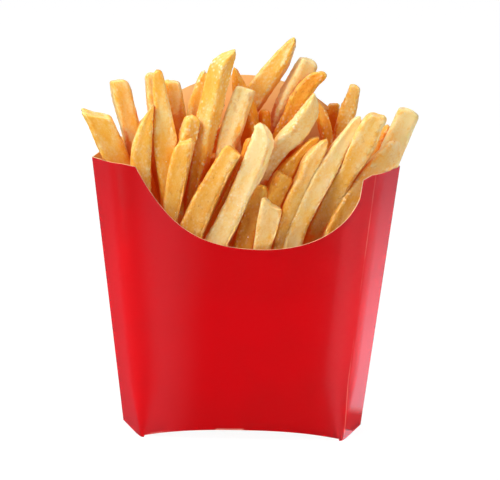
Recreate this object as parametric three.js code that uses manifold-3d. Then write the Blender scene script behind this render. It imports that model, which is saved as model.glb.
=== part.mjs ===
// French fries in a paperboard carton: a flat-bottomed red scoop carton that is open at the top,
// and the bundle of fries that stands in it. Millimetres, +Z up, the carton's front towards -Y.
// The carton stands on two narrow feet, and everything is worked out in its own frame, with the
// middle of the carton at x = 0, y = 0. The group then shifts both pieces to centre the whole.
import * as THREE from 'three';
import { mergeVertices } from 'three/addons/utils/BufferGeometryUtils.js';
import Module from 'manifold-3d';

// ---- Driving dimensions of the carton ----
const BOARD = 0.5; // thickness of the paperboard
const CREASE_X = 36.8; // half the width between the upright creases, at the foot
const CREASE_FLARE = 0.0975; // how much that half width grows for each millimetre of height
const SIDE_X = 44.3; // half the width between the side edges, at the foot
const SIDE_FLARE = 0.1166;
const CREASE_Y = 17; // half the depth between the creases, the same at every height
const BELLY_FOOT = 2.5; // how far the front and back bow out between their creases, at the foot
const BELLY_TOP = 5; // the same at shoulder height
const SHOULDER_Z = 100;
const BELLY_POWER = 2.6; // how flat the bow is in its middle
const ARCH_RISE = 4.1; // height of the middle of the bottom edge, which arches between the feet
const ARCH_POWER = 2.5; // how flat that arch is in its middle
const FOOT_RISE = 0.8; // height of the arch's ends, beside the feet
const FOOT_SHARE = 0.94; // the feet are flat outside this share of the way to a crease
const ARCH_SHARE = 0.91; // and the arch runs inside this one
const SIDE_TIP_Z = 1.9; // height of the bottom corner of each side edge

// ---- Driving dimensions of the carton's top edge ----
const SCOOP_LOW = [6, 72]; // x and z of the lowest point of the front's scoop
const NOTCH_LEFT = [-40.2, 100.7]; // where the scoop meets the shoulders
const NOTCH_RIGHT = [43, 98.8];
const SCOOP_LEFT = [[-22, 72], [-29.2, 84.1]]; // pull points of the scoop's two halves
const SCOOP_RIGHT = [[29, 72], [40.2, 81.3]];
const CREASE_TOP = { left: 101.3, right: 99.1 }; // heights of the front creases' upper ends
const CORNER_TOP = { left: 100.8, right: 99.7 }; // heights of the side edges' upper ends
const DOME_PEAK = [-1.5, 129]; // x and z of the top of the back
const DOME_RADIUS = 50;
const DOME_REACH = 32; // the round part of the back's edge ends this far from its peak
const COLUMNS = 30; // steps across the front and the back

// ---- Driving dimensions of the fries ----
const GAP = 0.3; // clearance between the fries and the board
const FILL_Z = 80; // height of the packed fries in the middle of the carton
const FILL_SLOPE = 0.6; // they stand higher towards the back
const FRY_RINGS = 4; // sections along each fry that stands out of the bundle
const FRY_EDGE = 0.16; // share of a fry's width taken off its long edges
const FRY_TIP = 0.86; // share of its section that is left at its tip

// Each fry that stands out of the bundle: the middle of its tip, a point of its foot inside the
// bundle, width, thickness, bow to the right, turn about its length in degrees, and how much
// higher the right side of its cut end is.
const FRIES = [
  // leaning over the left shoulder, and the row behind it
  [[-55, -6, 118], [-29, -1, 60], 9.8, 8.5, 0, 8, -6],
  [[-47, 5, 128], [-27, 1, 58], 7.6, 7.6, -1, 35, -3.8],
  [[-36, -12.5, 119.5], [-38, -12, 66], 7.3, 7, -1, 5, 6.6],
  [[-36, 2, 131.5], [-27.5, -1, 60], 6.6, 6.6, 0, 10, 0],
  [[-33, -8, 134], [-23, -9, 56], 7.2, 7, 1.2, -8, 0],
  [[-28, 8.5, 129], [-18, 10, 75], 6.6, 6.4, 0.5, 12, -1],
  [[-20.5, -6, 118], [-31, 0, 72], 6.6, 6, -0.5, 20, -2],
  // left half of the front row
  [[-22.3, -15.5, 109.5], [-31, -14, 62], 8, 8, 0, -6, 5],
  [[-4.4, -15, 107], [-22, -15.5, 71], 8.8, 7.6, -0.6, 4, -1],
  [[5.1, -14, 115.5], [-16, -15.5, 60], 9, 8.2, 3, -10, -1.5],
  // the tall fries of the middle and back
  [[-7.5, -5, 140.5], [-22, 0, 64], 8.4, 7.6, -3, -24, 4],
  [[-15.6, 5, 132.5], [-27, 4, 90], 6, 6, 0, 15, 1],
  [[-0.9, -2, 127.6], [-13, -4, 64], 7.1, 6.6, -2, 6, 0],
  [[-5, 5, 133.5], [3, 5, 70], 6.4, 6, 1.8, 22, -3],
  [[15.5, 10, 143], [-15, 13, 97], 8.3, 7.8, 0.8, -6, 4],
  [[21.6, 11, 136.5], [-2, 12, 85], 7, 7, -1, 10, 1],
  [[24.8, 5, 131.7], [7.5, 5, 98], 6.7, 6, -0.6, -14, 3],
  [[22.5, -5, 122], [2, 1, 74], 8, 7.4, -5, 12, 3],
  [[1.3, -8, 110], [-16, -10.5, 75], 6, 5, 0, 8, -1],
  [[6, 6, 118.5], [6.5, 6, 102], 5, 5, 0, 30, 0],
  // middle and right half of the front row
  [[9.3, -16, 88.5], [1.5, -16, 50], 8.8, 8, 0, 5, -3],
  [[5, -9, 94], [-4, -12.5, 56], 8, 7, 0, -12, 0],
  [[14.2, -8, 98.4], [-2, -8, 60], 7.5, 7, 0, 14, 0],
  [[25.5, -3, 110], [13, -3, 97.5], 6.2, 6, -0.4, 0, 0],
  [[27.8, -11, 110], [12, -15, 58], 6.4, 6.6, -3, 10, 1],
  [[37.6, -14, 117], [16.5, -15.5, 60], 8.4, 7.6, -2.5, -6, 4],
  [[46.7, -8, 119.5], [23, -14.5, 62], 8.8, 8, -2.5, 8, 3.8],
  [[53.6, -8, 108.4], [31, -13, 64], 8, 7.6, -3.5, 0, 1],
  // leaning over the right shoulder, and the row behind it
  [[58.7, 0, 119.7], [38.5, 0, 70], 8.4, 8, 0, -5, 0],
  [[51.3, 7, 113.2], [39, 6, 80], 5.6, 5.6, 0, 20, 0],
  [[39.3, 9, 127.2], [25.5, 10, 80], 6.4, 6.2, -0.8, 8, 0],
  [[31.6, 16, 120], [27, 16, 85], 5.5, 5, 0, 0, 0],
  [[25.9, 4, 121], [33, 3, 85], 6.2, 6, 0.7, 30, 0],
];

// Share of a whole bow at a place across a panel, s going from -1 to 1 between its creases.
const bellyShape = (s) => 1 - Math.abs(s) ** BELLY_POWER;

const creaseX = (z) => CREASE_X + CREASE_FLARE * z;

const sideX = (z) => SIDE_X + SIDE_FLARE * z;

// A point of the front (side -1) or back (side +1) panel.
function panelPoint(s, z, side) {
  const belly = BELLY_FOOT + (BELLY_TOP - BELLY_FOOT) * (z / SHOULDER_Z);
  return new THREE.Vector3(s * creaseX(z), side * (CREASE_Y + belly * bellyShape(s)), z);
}

// Height of the bottom edge, flat at the feet and arched between them.
function bottomZ(s) {
  const share = Math.abs(s);
  if (share >= FOOT_SHARE) return 0;
  if (share > ARCH_SHARE) return (FOOT_RISE * (FOOT_SHARE - share)) / (FOOT_SHARE - ARCH_SHARE);
  return ARCH_RISE - (ARCH_RISE - FOOT_RISE) * (share / ARCH_SHARE) ** ARCH_POWER;
}

// Half of the scoop, as a curve from its lowest point up to its notch.
function scoopHalf(pulls, notch) {
  const points = [SCOOP_LOW, ...pulls, notch].map(([x, z]) => new THREE.Vector2(x, z));
  return new THREE.CubicBezierCurve(...points);
}

const scoopLeft = scoopHalf(SCOOP_LEFT, NOTCH_LEFT);
const scoopRight = scoopHalf(SCOOP_RIGHT, NOTCH_RIGHT);

// Height of a curve at x, for a curve whose x runs one way only.
function heightAt(curve, x) {
  const rising = curve.getPoint(1).x > curve.getPoint(0).x;
  let low = 0;
  let high = 1;
  for (let step = 0; step < 30; step += 1) {
    const middle = (low + high) / 2;
    if (curve.getPoint(middle).x < x === rising) low = middle;
    else high = middle;
  }
  return curve.getPoint(low).y;
}

// Height of the front's top edge at x: the scoop between the notches, then the two shoulders.
function frontEdge(x) {
  if (x <= NOTCH_LEFT[0]) {
    const end = -creaseX(CREASE_TOP.left);
    const t = (x - NOTCH_LEFT[0]) / (end - NOTCH_LEFT[0]);
    return NOTCH_LEFT[1] + t * (CREASE_TOP.left - NOTCH_LEFT[1]);
  }
  if (x >= NOTCH_RIGHT[0]) {
    const end = creaseX(CREASE_TOP.right);
    const t = (x - NOTCH_RIGHT[0]) / (end - NOTCH_RIGHT[0]);
    return NOTCH_RIGHT[1] + t * (CREASE_TOP.right - NOTCH_RIGHT[1]);
  }
  return heightAt(x < SCOOP_LOW[0] ? scoopLeft : scoopRight, x);
}

// Height of the back's top edge at x: a round dome, then straight down to the creases.
function backEdge(x) {
  const dx = Math.abs(x - DOME_PEAK[0]);
  const round = Math.min(dx, DOME_REACH);
  const fall = DOME_RADIUS - Math.sqrt(DOME_RADIUS ** 2 - round ** 2);
  const slope = DOME_REACH / Math.sqrt(DOME_RADIUS ** 2 - DOME_REACH ** 2);
  return DOME_PEAK[1] - fall - Math.max(dx - DOME_REACH, 0) * slope;
}

// Height of a panel's top edge at the place s across it. The panel flares, so x depends on it.
function panelTop(s, side) {
  const edge = side < 0 ? frontEdge : backEdge;
  let z = SHOULDER_Z;
  for (let step = 0; step < 60; step += 1) z = edge(s * creaseX(z));
  return z;
}

// The places across a panel where it has an edge: both creases, both notches, the sides of the
// feet, and steps that are closer together towards the notches, where the scoop is steep.
function places() {
  const left = NOTCH_LEFT[0] / creaseX(NOTCH_LEFT[1]);
  const right = NOTCH_RIGHT[0] / creaseX(NOTCH_RIGHT[1]);
  const between = Array.from({ length: COLUMNS + 1 }, (_, i) => {
    const share = (1 - Math.cos((Math.PI * i) / COLUMNS)) / 2;
    return left + (right - left) * share;
  });
  const feet = [FOOT_SHARE, ARCH_SHARE].flatMap((share) => [-share, share]);
  return [-1, ...feet, ...between, 1].sort((a, b) => a - b);
}

const PLACES = places();

// The wall as a closed ring of uprights, anticlockwise from the front's left crease. Each
// upright is a straight line from a bottom point to a top point of the board's outer face.
function uprights() {
  const panel = (s, side) => ({
    foot: panelPoint(s, bottomZ(s), side),
    top: panelPoint(s, panelTop(s, side), side),
    middle: panelPoint(s, SHOULDER_Z / 2, side),
  });
  const corner = (sign, topZ) => ({
    foot: new THREE.Vector3(sign * sideX(SIDE_TIP_Z), 0, SIDE_TIP_Z),
    top: new THREE.Vector3(sign * sideX(topZ), 0, topZ),
    middle: new THREE.Vector3(sign * sideX(SHOULDER_Z / 2), 0, SHOULDER_Z / 2),
  });
  return [
    ...PLACES.map((s) => panel(s, -1)),
    corner(1, CORNER_TOP.right),
    ...[...PLACES].reverse().map((s) => panel(s, 1)),
    corner(-1, CORNER_TOP.left),
  ];
}

const RING = uprights();

// Inward step of each upright for one millimetre of board, mitred at the creases.
function inwardSteps() {
  const count = RING.length;
  const normal = (a, b) => new THREE.Vector2(a.y - b.y, b.x - a.x).normalize();
  return RING.map(({ middle }, i) => {
    const before = normal(RING[(i + count - 1) % count].middle, middle);
    const after = normal(middle, RING[(i + 1) % count].middle);
    const sum = before.clone().add(after).normalize();
    return sum.multiplyScalar(1 / sum.dot(after));
  });
}

const STEPS = inwardSteps();

// The ring of wall lines moved inwards by a depth, raised by it at the bottom.
function innerRing(depth) {
  return RING.map(({ foot, top }, i) => {
    const step = new THREE.Vector3(STEPS[i].x * depth, STEPS[i].y * depth, 0);
    return {
      foot: foot.clone().add(step).setZ(foot.z + depth),
      top: top.clone().add(step),
    };
  });
}

// Triangles between two rings of the same length, facing out when ring b is above ring a.
function bandFaces(a, b, count) {
  const faces = [];
  for (let i = 0; i < count; i += 1) {
    const j = (i + 1) % count;
    faces.push([a + i, a + j, b + j], [a + i, b + j, b + i]);
  }
  return faces;
}

// Triangles that close a ring, facing down: each front point is joined straight back.
function capFaces(start) {
  const n = PLACES.length;
  const front = (i) => start + i;
  const back = (i) => start + 2 * n - i;
  const faces = [
    [start + 2 * n + 1, back(0), front(0)],
    [start + n, front(n - 1), back(n - 1)],
  ];
  for (let i = 0; i < n - 1; i += 1) {
    faces.push([front(i), back(i), back(i + 1)], [front(i), back(i + 1), front(i + 1)]);
  }
  return faces;
}

const flipped = (faces) => faces.map(([a, b, c]) => [a, c, b]);

function geometryOf(points, faces) {
  const geometry = new THREE.BufferGeometry().setFromPoints(points);
  geometry.setIndex(faces.flat());
  return geometry;
}

// A thin-walled carton between two rings: outer wall, inner wall, the cut top edge between them,
// underside and floor.
function shellGeometry(outer, inner) {
  const n = outer.length;
  const points = [
    ...outer.map(({ foot }) => foot),
    ...outer.map(({ top }) => top),
    ...inner.map(({ foot }) => foot),
    ...inner.map(({ top }) => top),
  ];
  const faces = [
    ...bandFaces(0, n, n),
    ...bandFaces(n, 3 * n, n),
    ...flipped(bandFaces(2 * n, 3 * n, n)),
    ...capFaces(0),
    ...flipped(capFaces(2 * n)),
  ];
  return geometryOf(points, faces);
}

// The packed fries, filling the carton up to a surface that rises towards the back.
function fillGeometry() {
  const ring = innerRing(BOARD + GAP);
  const n = ring.length;
  const lid = ring.map(({ foot, top }) => {
    const topZ = FILL_Z + FILL_SLOPE * top.y;
    return foot.clone().lerp(top, (topZ - foot.z) / (top.z - foot.z));
  });
  const points = [...ring.map(({ foot }) => foot), ...lid];
  return geometryOf(points, [...bandFaces(0, n, n), ...capFaces(0), ...flipped(capFaces(n))]);
}

// The section of a fry: a rectangle with its corners cut, as shares of width and thickness.
function fryCorners() {
  const far = 0.5;
  const near = 0.5 - FRY_EDGE;
  return [
    [far, -near], [far, near], [near, far], [-near, far],
    [-far, near], [-far, -near], [-near, -far], [near, -far],
  ];
}

function fryGeometry([tip, foot, width, thickness, bow, turn, slant]) {
  const start = new THREE.Vector3(...foot);
  const line = new THREE.Vector3(...tip).sub(start);
  const along = line.clone().normalize();
  const right = new THREE.Vector3(along.z, 0, -along.x).normalize();
  const wide = right.clone().applyAxisAngle(along, THREE.MathUtils.degToRad(turn));
  const deep = along.clone().cross(wide);
  const corners = fryCorners();
  const points = [];
  for (let ring = 0; ring < FRY_RINGS; ring += 1) {
    const u = ring / (FRY_RINGS - 1);
    const isTip = ring === FRY_RINGS - 1;
    const scale = isTip ? FRY_TIP : 1;
    const middle = start.clone().addScaledVector(line, u).addScaledVector(right, 4 * bow * u * (1 - u));
    for (const [a, b] of corners) {
      const point = middle.clone();
      point.addScaledVector(wide, a * width * scale);
      point.addScaledVector(deep, b * thickness * scale);
      if (isTip) point.addScaledVector(along, a * slant);
      points.push(point);
    }
  }
  const n = corners.length;
  const faces = [];
  for (let ring = 0; ring < FRY_RINGS - 1; ring += 1) {
    faces.push(...bandFaces(ring * n, (ring + 1) * n, n));
  }
  const last = (FRY_RINGS - 1) * n;
  for (let i = 1; i < n - 1; i += 1) {
    faces.push([0, i + 1, i], [last, last + i, last + i + 1]);
  }
  return geometryOf(points, faces);
}

// ---- Joining and cutting ----
const wasm = await Module();
wasm.setup();

function solidOf(geometry) {
  const merged = mergeVertices(geometry, 1e-4);
  return new wasm.Manifold(new wasm.Mesh({
    numProp: 3,
    vertProperties: new Float32Array(merged.getAttribute('position').array),
    triVerts: new Uint32Array(merged.getIndex().array),
  }));
}

function geometryFrom(solid) {
  const mesh = solid.getMesh();
  const geometry = new THREE.BufferGeometry();
  geometry.setAttribute('position', new THREE.BufferAttribute(mesh.vertProperties, 3));
  geometry.setIndex(new THREE.BufferAttribute(mesh.triVerts, 1));
  geometry.computeVertexNormals();
  return geometry;
}

// The board made thicker on every side by the gap, for the fries to be cut back by.
function boardWithGap() {
  const raised = (ring) => ring.map(({ foot, top }) => ({ foot, top: top.clone().setZ(top.z + GAP) }));
  return solidOf(shellGeometry(raised(innerRing(-GAP)), raised(innerRing(BOARD + GAP))));
}

// One solid: the packed fries with every fry that stands out of them, clear of the board.
function friesGeometry() {
  const whole = FRIES.reduce((sum, fry) => sum.add(solidOf(fryGeometry(fry))), solidOf(fillGeometry()));
  const pieces = whole.subtract(boardWithGap()).decompose();
  const largest = pieces.reduce((a, b) => (a.volume() > b.volume() ? a : b));
  return geometryFrom(largest);
}

// ---- The object ----
function cartonMesh() {
  const material = new THREE.MeshStandardMaterial({ color: 0xd81e28, roughness: 0.4, metalness: 0 });
  const mesh = new THREE.Mesh(shellGeometry(RING, innerRing(BOARD)), material);
  mesh.name = 'carton';
  return mesh;
}

function friesMesh() {
  const material = new THREE.MeshStandardMaterial({ color: 0xf3c766, roughness: 0.6, metalness: 0 });
  const mesh = new THREE.Mesh(friesGeometry(), material);
  mesh.name = 'fries';
  return mesh;
}

const group = new THREE.Group();
group.add(cartonMesh(), friesMesh());

// The origin is at the middle of the whole object's footprint, on the surface it stands on.
const middle = new THREE.Box3().setFromObject(group).getCenter(new THREE.Vector3());
group.position.set(-middle.x, -middle.y, 0);

export default group;
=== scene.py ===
import math
import random

import bmesh
import bpy
import numpy as np
from mathutils import Matrix, Vector


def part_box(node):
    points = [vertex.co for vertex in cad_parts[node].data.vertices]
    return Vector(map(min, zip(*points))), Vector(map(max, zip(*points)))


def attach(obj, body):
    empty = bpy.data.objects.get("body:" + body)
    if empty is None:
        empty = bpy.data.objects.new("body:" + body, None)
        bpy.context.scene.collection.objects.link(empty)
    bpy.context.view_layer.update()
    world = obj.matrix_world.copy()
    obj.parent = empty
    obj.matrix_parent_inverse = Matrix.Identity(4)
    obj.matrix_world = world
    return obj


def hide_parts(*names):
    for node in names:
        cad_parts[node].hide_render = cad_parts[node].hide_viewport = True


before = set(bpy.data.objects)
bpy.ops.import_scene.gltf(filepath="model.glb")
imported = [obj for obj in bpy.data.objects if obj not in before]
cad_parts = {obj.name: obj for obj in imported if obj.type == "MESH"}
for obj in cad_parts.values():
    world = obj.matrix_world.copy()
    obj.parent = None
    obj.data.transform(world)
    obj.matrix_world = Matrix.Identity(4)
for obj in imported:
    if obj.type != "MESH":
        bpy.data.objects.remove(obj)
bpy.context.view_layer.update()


# ---------------------------------------------------------------------------------------------
# Carton
# One sheet of thin paperboard, coated plain red outside and bare inside, scored, folded and glued
# into an open scoop: a front with a scoop cut in it, a domed back, two creased sides and an
# arched bottom that leaves two short feet to stand on. All sizes are in millimetres.
# ---------------------------------------------------------------------------------------------
MM = 0.001
BOARD = 0.5
CREASE_X, CREASE_FLARE = 36.8, 0.0975  # half the width between the creases, at the foot and per mm up
SIDE_X, SIDE_FLARE, SIDE_FLARE_LEFT = 44.3, 0.1166, 0.1228  # the same for the side edges
CREASE_Y = 17.0
BELLY_FOOT, BELLY_TOP, BELLY_POWER = 2.5, 5.0, 2.6
SHOULDER_Z = 100.0
ARCH_RISE, ARCH_POWER, FOOT_RISE = 4.1, 2.5, 0.8
FOOT_SHARE, ARCH_SHARE = 0.975, 0.966
SIDE_TIP_Z, SIDE_TIP_FLAT = 1.4, 0.25
SCOOP_LEFT = [(6, 72), (-22, 72), (-29.2, 84.1), (-40.2, 100.7)]
SCOOP_RIGHT, SCOOP_RIGHT_END = [(6, 72), (25, 72), (36, 80), (41.2, 90.5)], (42.3, 97.3)
CREASE_TOP = {-1: 101.3, 1: 98.9}  # the front creases' upper ends, left and right
CORNER_TOP = {-1: 100.8, 1: 99.7}
DOME_X, DOME_Z, DOME_RADIUS, DOME_REACH = -1.5, 129.0, 50.0, 32.0
# how far the bend at a crease spreads over the front and over the side, on the left and the right
CREASE_BEND = {-1: (12.0, 7.0), 1: (10.0, 7.5)}
BEND_AT_FOOT, BEND_GROWS_OVER = 0.15, 25.0  # share of that at the foot, and where it is all there
CREASE_MARKS = (0.35, 0.8, 1.3, 1.6, 1.9, 2.8, 4.4, 6.4)
CREASE_LINE = 1.6  # the crease shows as a thin line this far round the bend
PANEL_HALF = 45.0  # half the front's width, about, which spaces the marks at a crease
PANEL_STEPS, GUSSET_STEPS, WALL_ROWS, BOTTOM_ROWS = 92, 8, 52, 8
ROW_NEAR_EDGE = (0.3, 0.75, 1.5)
SIDE_LENGTH = math.hypot(SIDE_X - CREASE_X, CREASE_Y)  # from a crease to the side edge, at the foot
SIDE_LENGTH_UP = math.hypot(SIDE_X - CREASE_X + 2, CREASE_Y)  # the same higher up, where it is wider

carton_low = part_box("carton")[0]


def crease_x(z):
    return CREASE_X + CREASE_FLARE * z


def side_x(z, side=1):
    return SIDE_X + np.where(np.asarray(side) < 0, SIDE_FLARE_LEFT, SIDE_FLARE) * z


# where the middle of the carton stands
CARTON_X = carton_low.x / MM + float(side_x(CORNER_TOP[-1]))


def bezier(points, steps=400):
    t = np.linspace(0, 1, steps)[:, None]
    a, b, c, d = (np.array(p, float) for p in points)
    return (1 - t) ** 3 * a + 3 * (1 - t) ** 2 * t * b + 3 * (1 - t) * t**2 * c + t**3 * d


scoop_line = np.vstack([bezier(SCOOP_LEFT)[::-1], bezier(SCOOP_RIGHT)[1:], [SCOOP_RIGHT_END]])
NOTCH = {-1: SCOOP_LEFT[-1], 1: SCOOP_RIGHT_END}


def front_edge(x):
    """Height of the front's cut edge at x: the scoop, then a short shoulder on each side."""
    x = np.asarray(x, float)
    z = np.interp(x, scoop_line[:, 0], scoop_line[:, 1])
    for sign in (-1, 1):
        notch_x, notch_z = NOTCH[sign]
        end = sign * crease_x(CREASE_TOP[sign])
        share = np.clip((x - notch_x) / (end - notch_x), 0, 1)
        z = np.where(sign * x >= sign * notch_x, notch_z + share * (CREASE_TOP[sign] - notch_z), z)
    return z


def back_edge(x):
    """Height of the back's cut edge at x: a round dome, then straight down to the creases."""
    dx = np.abs(np.asarray(x, float) - DOME_X)
    round_part = np.minimum(dx, DOME_REACH)
    fall = DOME_RADIUS - np.sqrt(DOME_RADIUS**2 - round_part**2)
    slope = DOME_REACH / math.sqrt(DOME_RADIUS**2 - DOME_REACH**2)
    return DOME_Z - fall - np.maximum(dx - DOME_REACH, 0) * slope


def belly(s, z):
    return (BELLY_FOOT + (BELLY_TOP - BELLY_FOOT) * z / SHOULDER_Z) * (1 - np.abs(s) ** BELLY_POWER)


def flat_wall_point(u, z, side):
    """A point of the outer wall with sharp creases. u runs from -1 to 1 between them, and on to 2
    at a side edge."""
    s, t = np.clip(u, -1, 1), np.clip(np.abs(u) - 1, 0, 1)
    x = np.where(t > 0, np.sign(u) * (crease_x(z) + t * (side_x(z, u) - crease_x(z))), s * crease_x(z))
    y = side * np.where(t > 0, CREASE_Y * (1 - t), CREASE_Y + belly(s, z))
    return np.stack([x, y, z + 0 * x], -1)


def wall_point(u, z, side):
    """A point of the outer wall, with the board bent over softly at the creases."""
    u, z = np.asarray(u, float), np.asarray(z, float)
    points = flat_wall_point(u, z, side)
    soft = np.clip(BEND_AT_FOOT + z / BEND_GROWS_OVER, 0, 1)
    for sign, (before, after) in CREASE_BEND.items():
        past = np.abs(u) - 1
        ahead = past * np.where(past > 0, SIDE_LENGTH_UP, crease_x(z))
        share = np.where(ahead < 0, ahead / (before * soft), ahead / (after * soft)) / 2 + 0.5
        share = np.clip(share, 0, 1)[..., None]
        start = flat_wall_point(sign * (1 - before * soft / crease_x(z)) + 0 * u, z, side)
        end = flat_wall_point(sign * (1 + after * soft / SIDE_LENGTH_UP) + 0 * u, z, side)
        crease = flat_wall_point(sign + 0 * u, z, side)
        bent = (1 - share) ** 2 * start + 2 * share * (1 - share) * crease + share**2 * end
        inside = (share > 0) & (share < 1) & ((u * sign) > 0)[..., None]
        points = np.where(inside, bent, points)
    return points


def bottom_z(u):
    share, t = np.minimum(np.abs(u), 1), np.clip(np.abs(u) - 1, 0, 1)
    arch = ARCH_RISE - (ARCH_RISE - FOOT_RISE) * (np.minimum(share, ARCH_SHARE) / ARCH_SHARE) ** ARCH_POWER
    step = np.clip((FOOT_SHARE - share) / (FOOT_SHARE - ARCH_SHARE), 0, 1)
    tip = SIDE_TIP_Z * np.clip((t - SIDE_TIP_FLAT) / (1 - SIDE_TIP_FLAT), 0, 1)
    return np.where(t > 0, tip, arch * step)


def top_z(u, side):
    edge = front_edge if side < 0 else back_edge
    s, t, sign = np.clip(u, -1, 1), np.clip(np.abs(u) - 1, 0, 1), np.sign(u)
    z = np.full(len(u), SHOULDER_Z)
    for _ in range(60):
        z = edge(s * crease_x(z))
    corner = np.where(sign < 0, CORNER_TOP[-1], CORNER_TOP[1])
    return z + t * (corner - z)


def stations():
    """Places along half of the carton's outline, closer together at the creases and the notches."""
    left, right = (NOTCH[k][0] / crease_x(NOTCH[k][1]) for k in (-1, 1))
    scoop = left + (right - left) * (1 - np.cos(np.pi * np.linspace(0, 1, PANEL_STEPS + 1))) / 2
    marks = list(scoop) + [-1, 1, -2, 2]
    for sign in (-1, 1):
        marks += [sign * (1 + k / GUSSET_STEPS) for k in range(1, GUSSET_STEPS)]
        marks += [sign * share for share in (FOOT_SHARE, ARCH_SHARE)]
        for d in CREASE_MARKS:
            marks += [sign * (1 - d / PANEL_HALF), sign * (1 + d / SIDE_LENGTH)]
        marks += [sign * (2 - d / SIDE_LENGTH) for d in CREASE_MARKS[:2]]
        notch = abs(left if sign < 0 else right)
        marks += [sign * (notch + (1 - notch) * k / 4) for k in (1, 2, 3)]
    return np.array(sorted(set(round(m, 6) for m in marks)))


def fold_line_distance(x, z, line):
    """How far points lie from a line of straight pieces on a panel."""
    best = np.full(x.shape, 1e9)
    for (x0, z0), (x1, z1) in zip(line, line[1:]):
        dx, dz = x1 - x0, z1 - z0
        t = np.clip(((x - x0) * dx + (z - z0) * dz) / (dx * dx + dz * dz), 0, 1)
        best = np.minimum(best, np.hypot(x - x0 - t * dx, z - z0 - t * dz))
    return best


def smooth_waves(x, z, seed, size):
    """A slow, even unevenness between -1 and 1, made of a few crossing waves."""
    rng = random.Random(seed)
    total = 0
    for _ in range(5):
        angle, phase, length = rng.uniform(0, math.pi), rng.uniform(0, 6.3), size * rng.uniform(0.7, 1.6)
        total = total + np.sin((x * math.cos(angle) + z * math.sin(angle)) * 6.283 / length + phase)
    return total / 5


# the crumpled folds beside the right notch, how far they stand up, and how wide they are
CRUMPLES = [([(43.4, 97.5), (45.9, 91.5), (41.5, 90.3)], 0.22, 0.7),
            ([(48.3, 96.5), (45.9, 91.5)], 0.16, 0.7)]
BOARD_WAVE, BOARD_WAVE_SIZE, BOARD_WAVE_SEED = 0.22, 46.0, 5
BOARD_SIDES_APART = 300  # keeps the waves of the front and the back different
BOTTOM_BULGE = 0.5  # how far the bottom panel bulges up between its folds
FOLD_WEAR = [(-34, -26.5), (-9.5, 0.5)]  # where the bottom fold is worn through to the board, in x
LINE_WEAR, EDGE_WEAR = 0.45, 0.4  # how worn the right crease's line and the side edges are


def ring_faces(low, high, count):
    """The faces between two closed rings of points, given by their first points."""
    return [(low + i, low + (i + 1) % count, high + (i + 1) % count, high + i) for i in range(count)]


def carton_mesh():
    u = stations()
    n = len(u)
    loop_u = np.concatenate([u, u[::-1][1:-1]])
    loop_side = np.concatenate([-np.ones(n), np.ones(n - 2)])
    count = len(loop_u)
    foot = bottom_z(loop_u)
    top = np.where(loop_side < 0, top_z(loop_u, -1), top_z(loop_u, 1))
    middle = np.linspace(0, 1, WALL_ROWS)
    rows = []
    for d in (0,) + ROW_NEAR_EDGE:
        rows.append(foot + d)
    for share in middle[1:-1]:
        rows.append(foot + ROW_NEAR_EDGE[-1] + share * (top - foot - 2 * ROW_NEAR_EDGE[-1]))
    for d in ROW_NEAR_EDGE[::-1] + (0,):
        rows.append(top - d)
    points = np.array([wall_point(loop_u, z, loop_side) for z in rows])
    side_edge = np.abs(np.abs(loop_u) - 2) < 1e-6
    near = (np.roll(points, 1, 1) + np.roll(points, -1, 1)) / 2
    points[:, side_edge, :2] = (points[:, side_edge, :2] + near[:, side_edge, :2]) / 2
    x, z = points[..., 0], points[..., 2]
    ease = 1 - np.abs(np.clip(loop_u, -1, 1)) ** 6
    place = x + BOARD_SIDES_APART * loop_side
    wave = BOARD_WAVE * ease * smooth_waves(place, z, BOARD_WAVE_SEED, BOARD_WAVE_SIZE)
    for line, height, width in CRUMPLES:
        ridge = height * np.exp(-(fold_line_distance(x, z, line) / width) ** 2)
        wave = wave + np.where(loop_side < 0, -ridge, 0)
    points[..., 1] += loop_side * wave
    # worn places: 1 where the red has rubbed off
    wear = np.zeros(points.shape[:2])
    for at, amount in ((1 + CREASE_LINE / SIDE_LENGTH, LINE_WEAR), (2, EDGE_WEAR), (-2, EDGE_WEAR)):
        wear = np.maximum(wear, amount * (np.abs(loop_u - at) < 1e-5) * np.ones_like(x))
    for x0, x1 in FOLD_WEAR:
        inside = (x > x0) & (x < x1) & (z - foot < ROW_NEAR_EDGE[0] + 0.01) & (loop_side < 0)
        wear = np.maximum(wear, inside * 1.0)
    verts = list(points.reshape(-1, 3))
    wears = list(wear.reshape(-1))
    faces = []
    for r in range(len(rows) - 1):
        faces += ring_faces(r * count, (r + 1) * count, count)

    def lower(i, k):
        """Index of step k of the strip from front point i to the back point behind it."""
        if k == 0 or i in (0, n - 1):
            return i
        if k == BOTTOM_ROWS:
            return count - i
        return inner[i, k]

    # the bottom panel, from each point of the front's lower edge straight to the back
    inner = {}
    for i in range(1, n - 1):
        front, back = points[0, i], points[0, count - i]
        for k in range(1, BOTTOM_ROWS):
            share = k / BOTTOM_ROWS
            p = front + (back - front) * share
            p[2] += BOTTOM_BULGE * math.sin(math.pi * share) * (abs(u[i]) < ARCH_SHARE)
            inner[i, k] = len(verts)
            verts.append(p)
            wears.append(0.0)
    for i in range(n - 1):
        for k in range(BOTTOM_ROWS):
            quad = (lower(i, k), lower(i, k + 1), lower(i + 1, k + 1), lower(i + 1, k))
            face = tuple(dict.fromkeys(quad))
            if len(face) > 2:
                faces.append(face)
    mesh = bpy.data.meshes.new("carton_board")
    mesh.from_pydata(in_metres(verts), [], faces)
    give(mesh, "wear", wears)
    return mesh


def in_metres(points):
    """Points measured in mm from the carton's middle, as points of the scene."""
    return [((x + CARTON_X) * MM, y * MM, z * MM) for x, y, z in points]


def give(mesh, name, values, kind="FLOAT"):
    """Puts one value, or one vector, on each vertex of a mesh."""
    values = np.asarray(values, np.float32)
    data = mesh.attributes.new(name, kind, "POINT").data
    data.foreach_set("vector" if kind == "FLOAT_VECTOR" else "value", values.reshape(-1))


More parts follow.
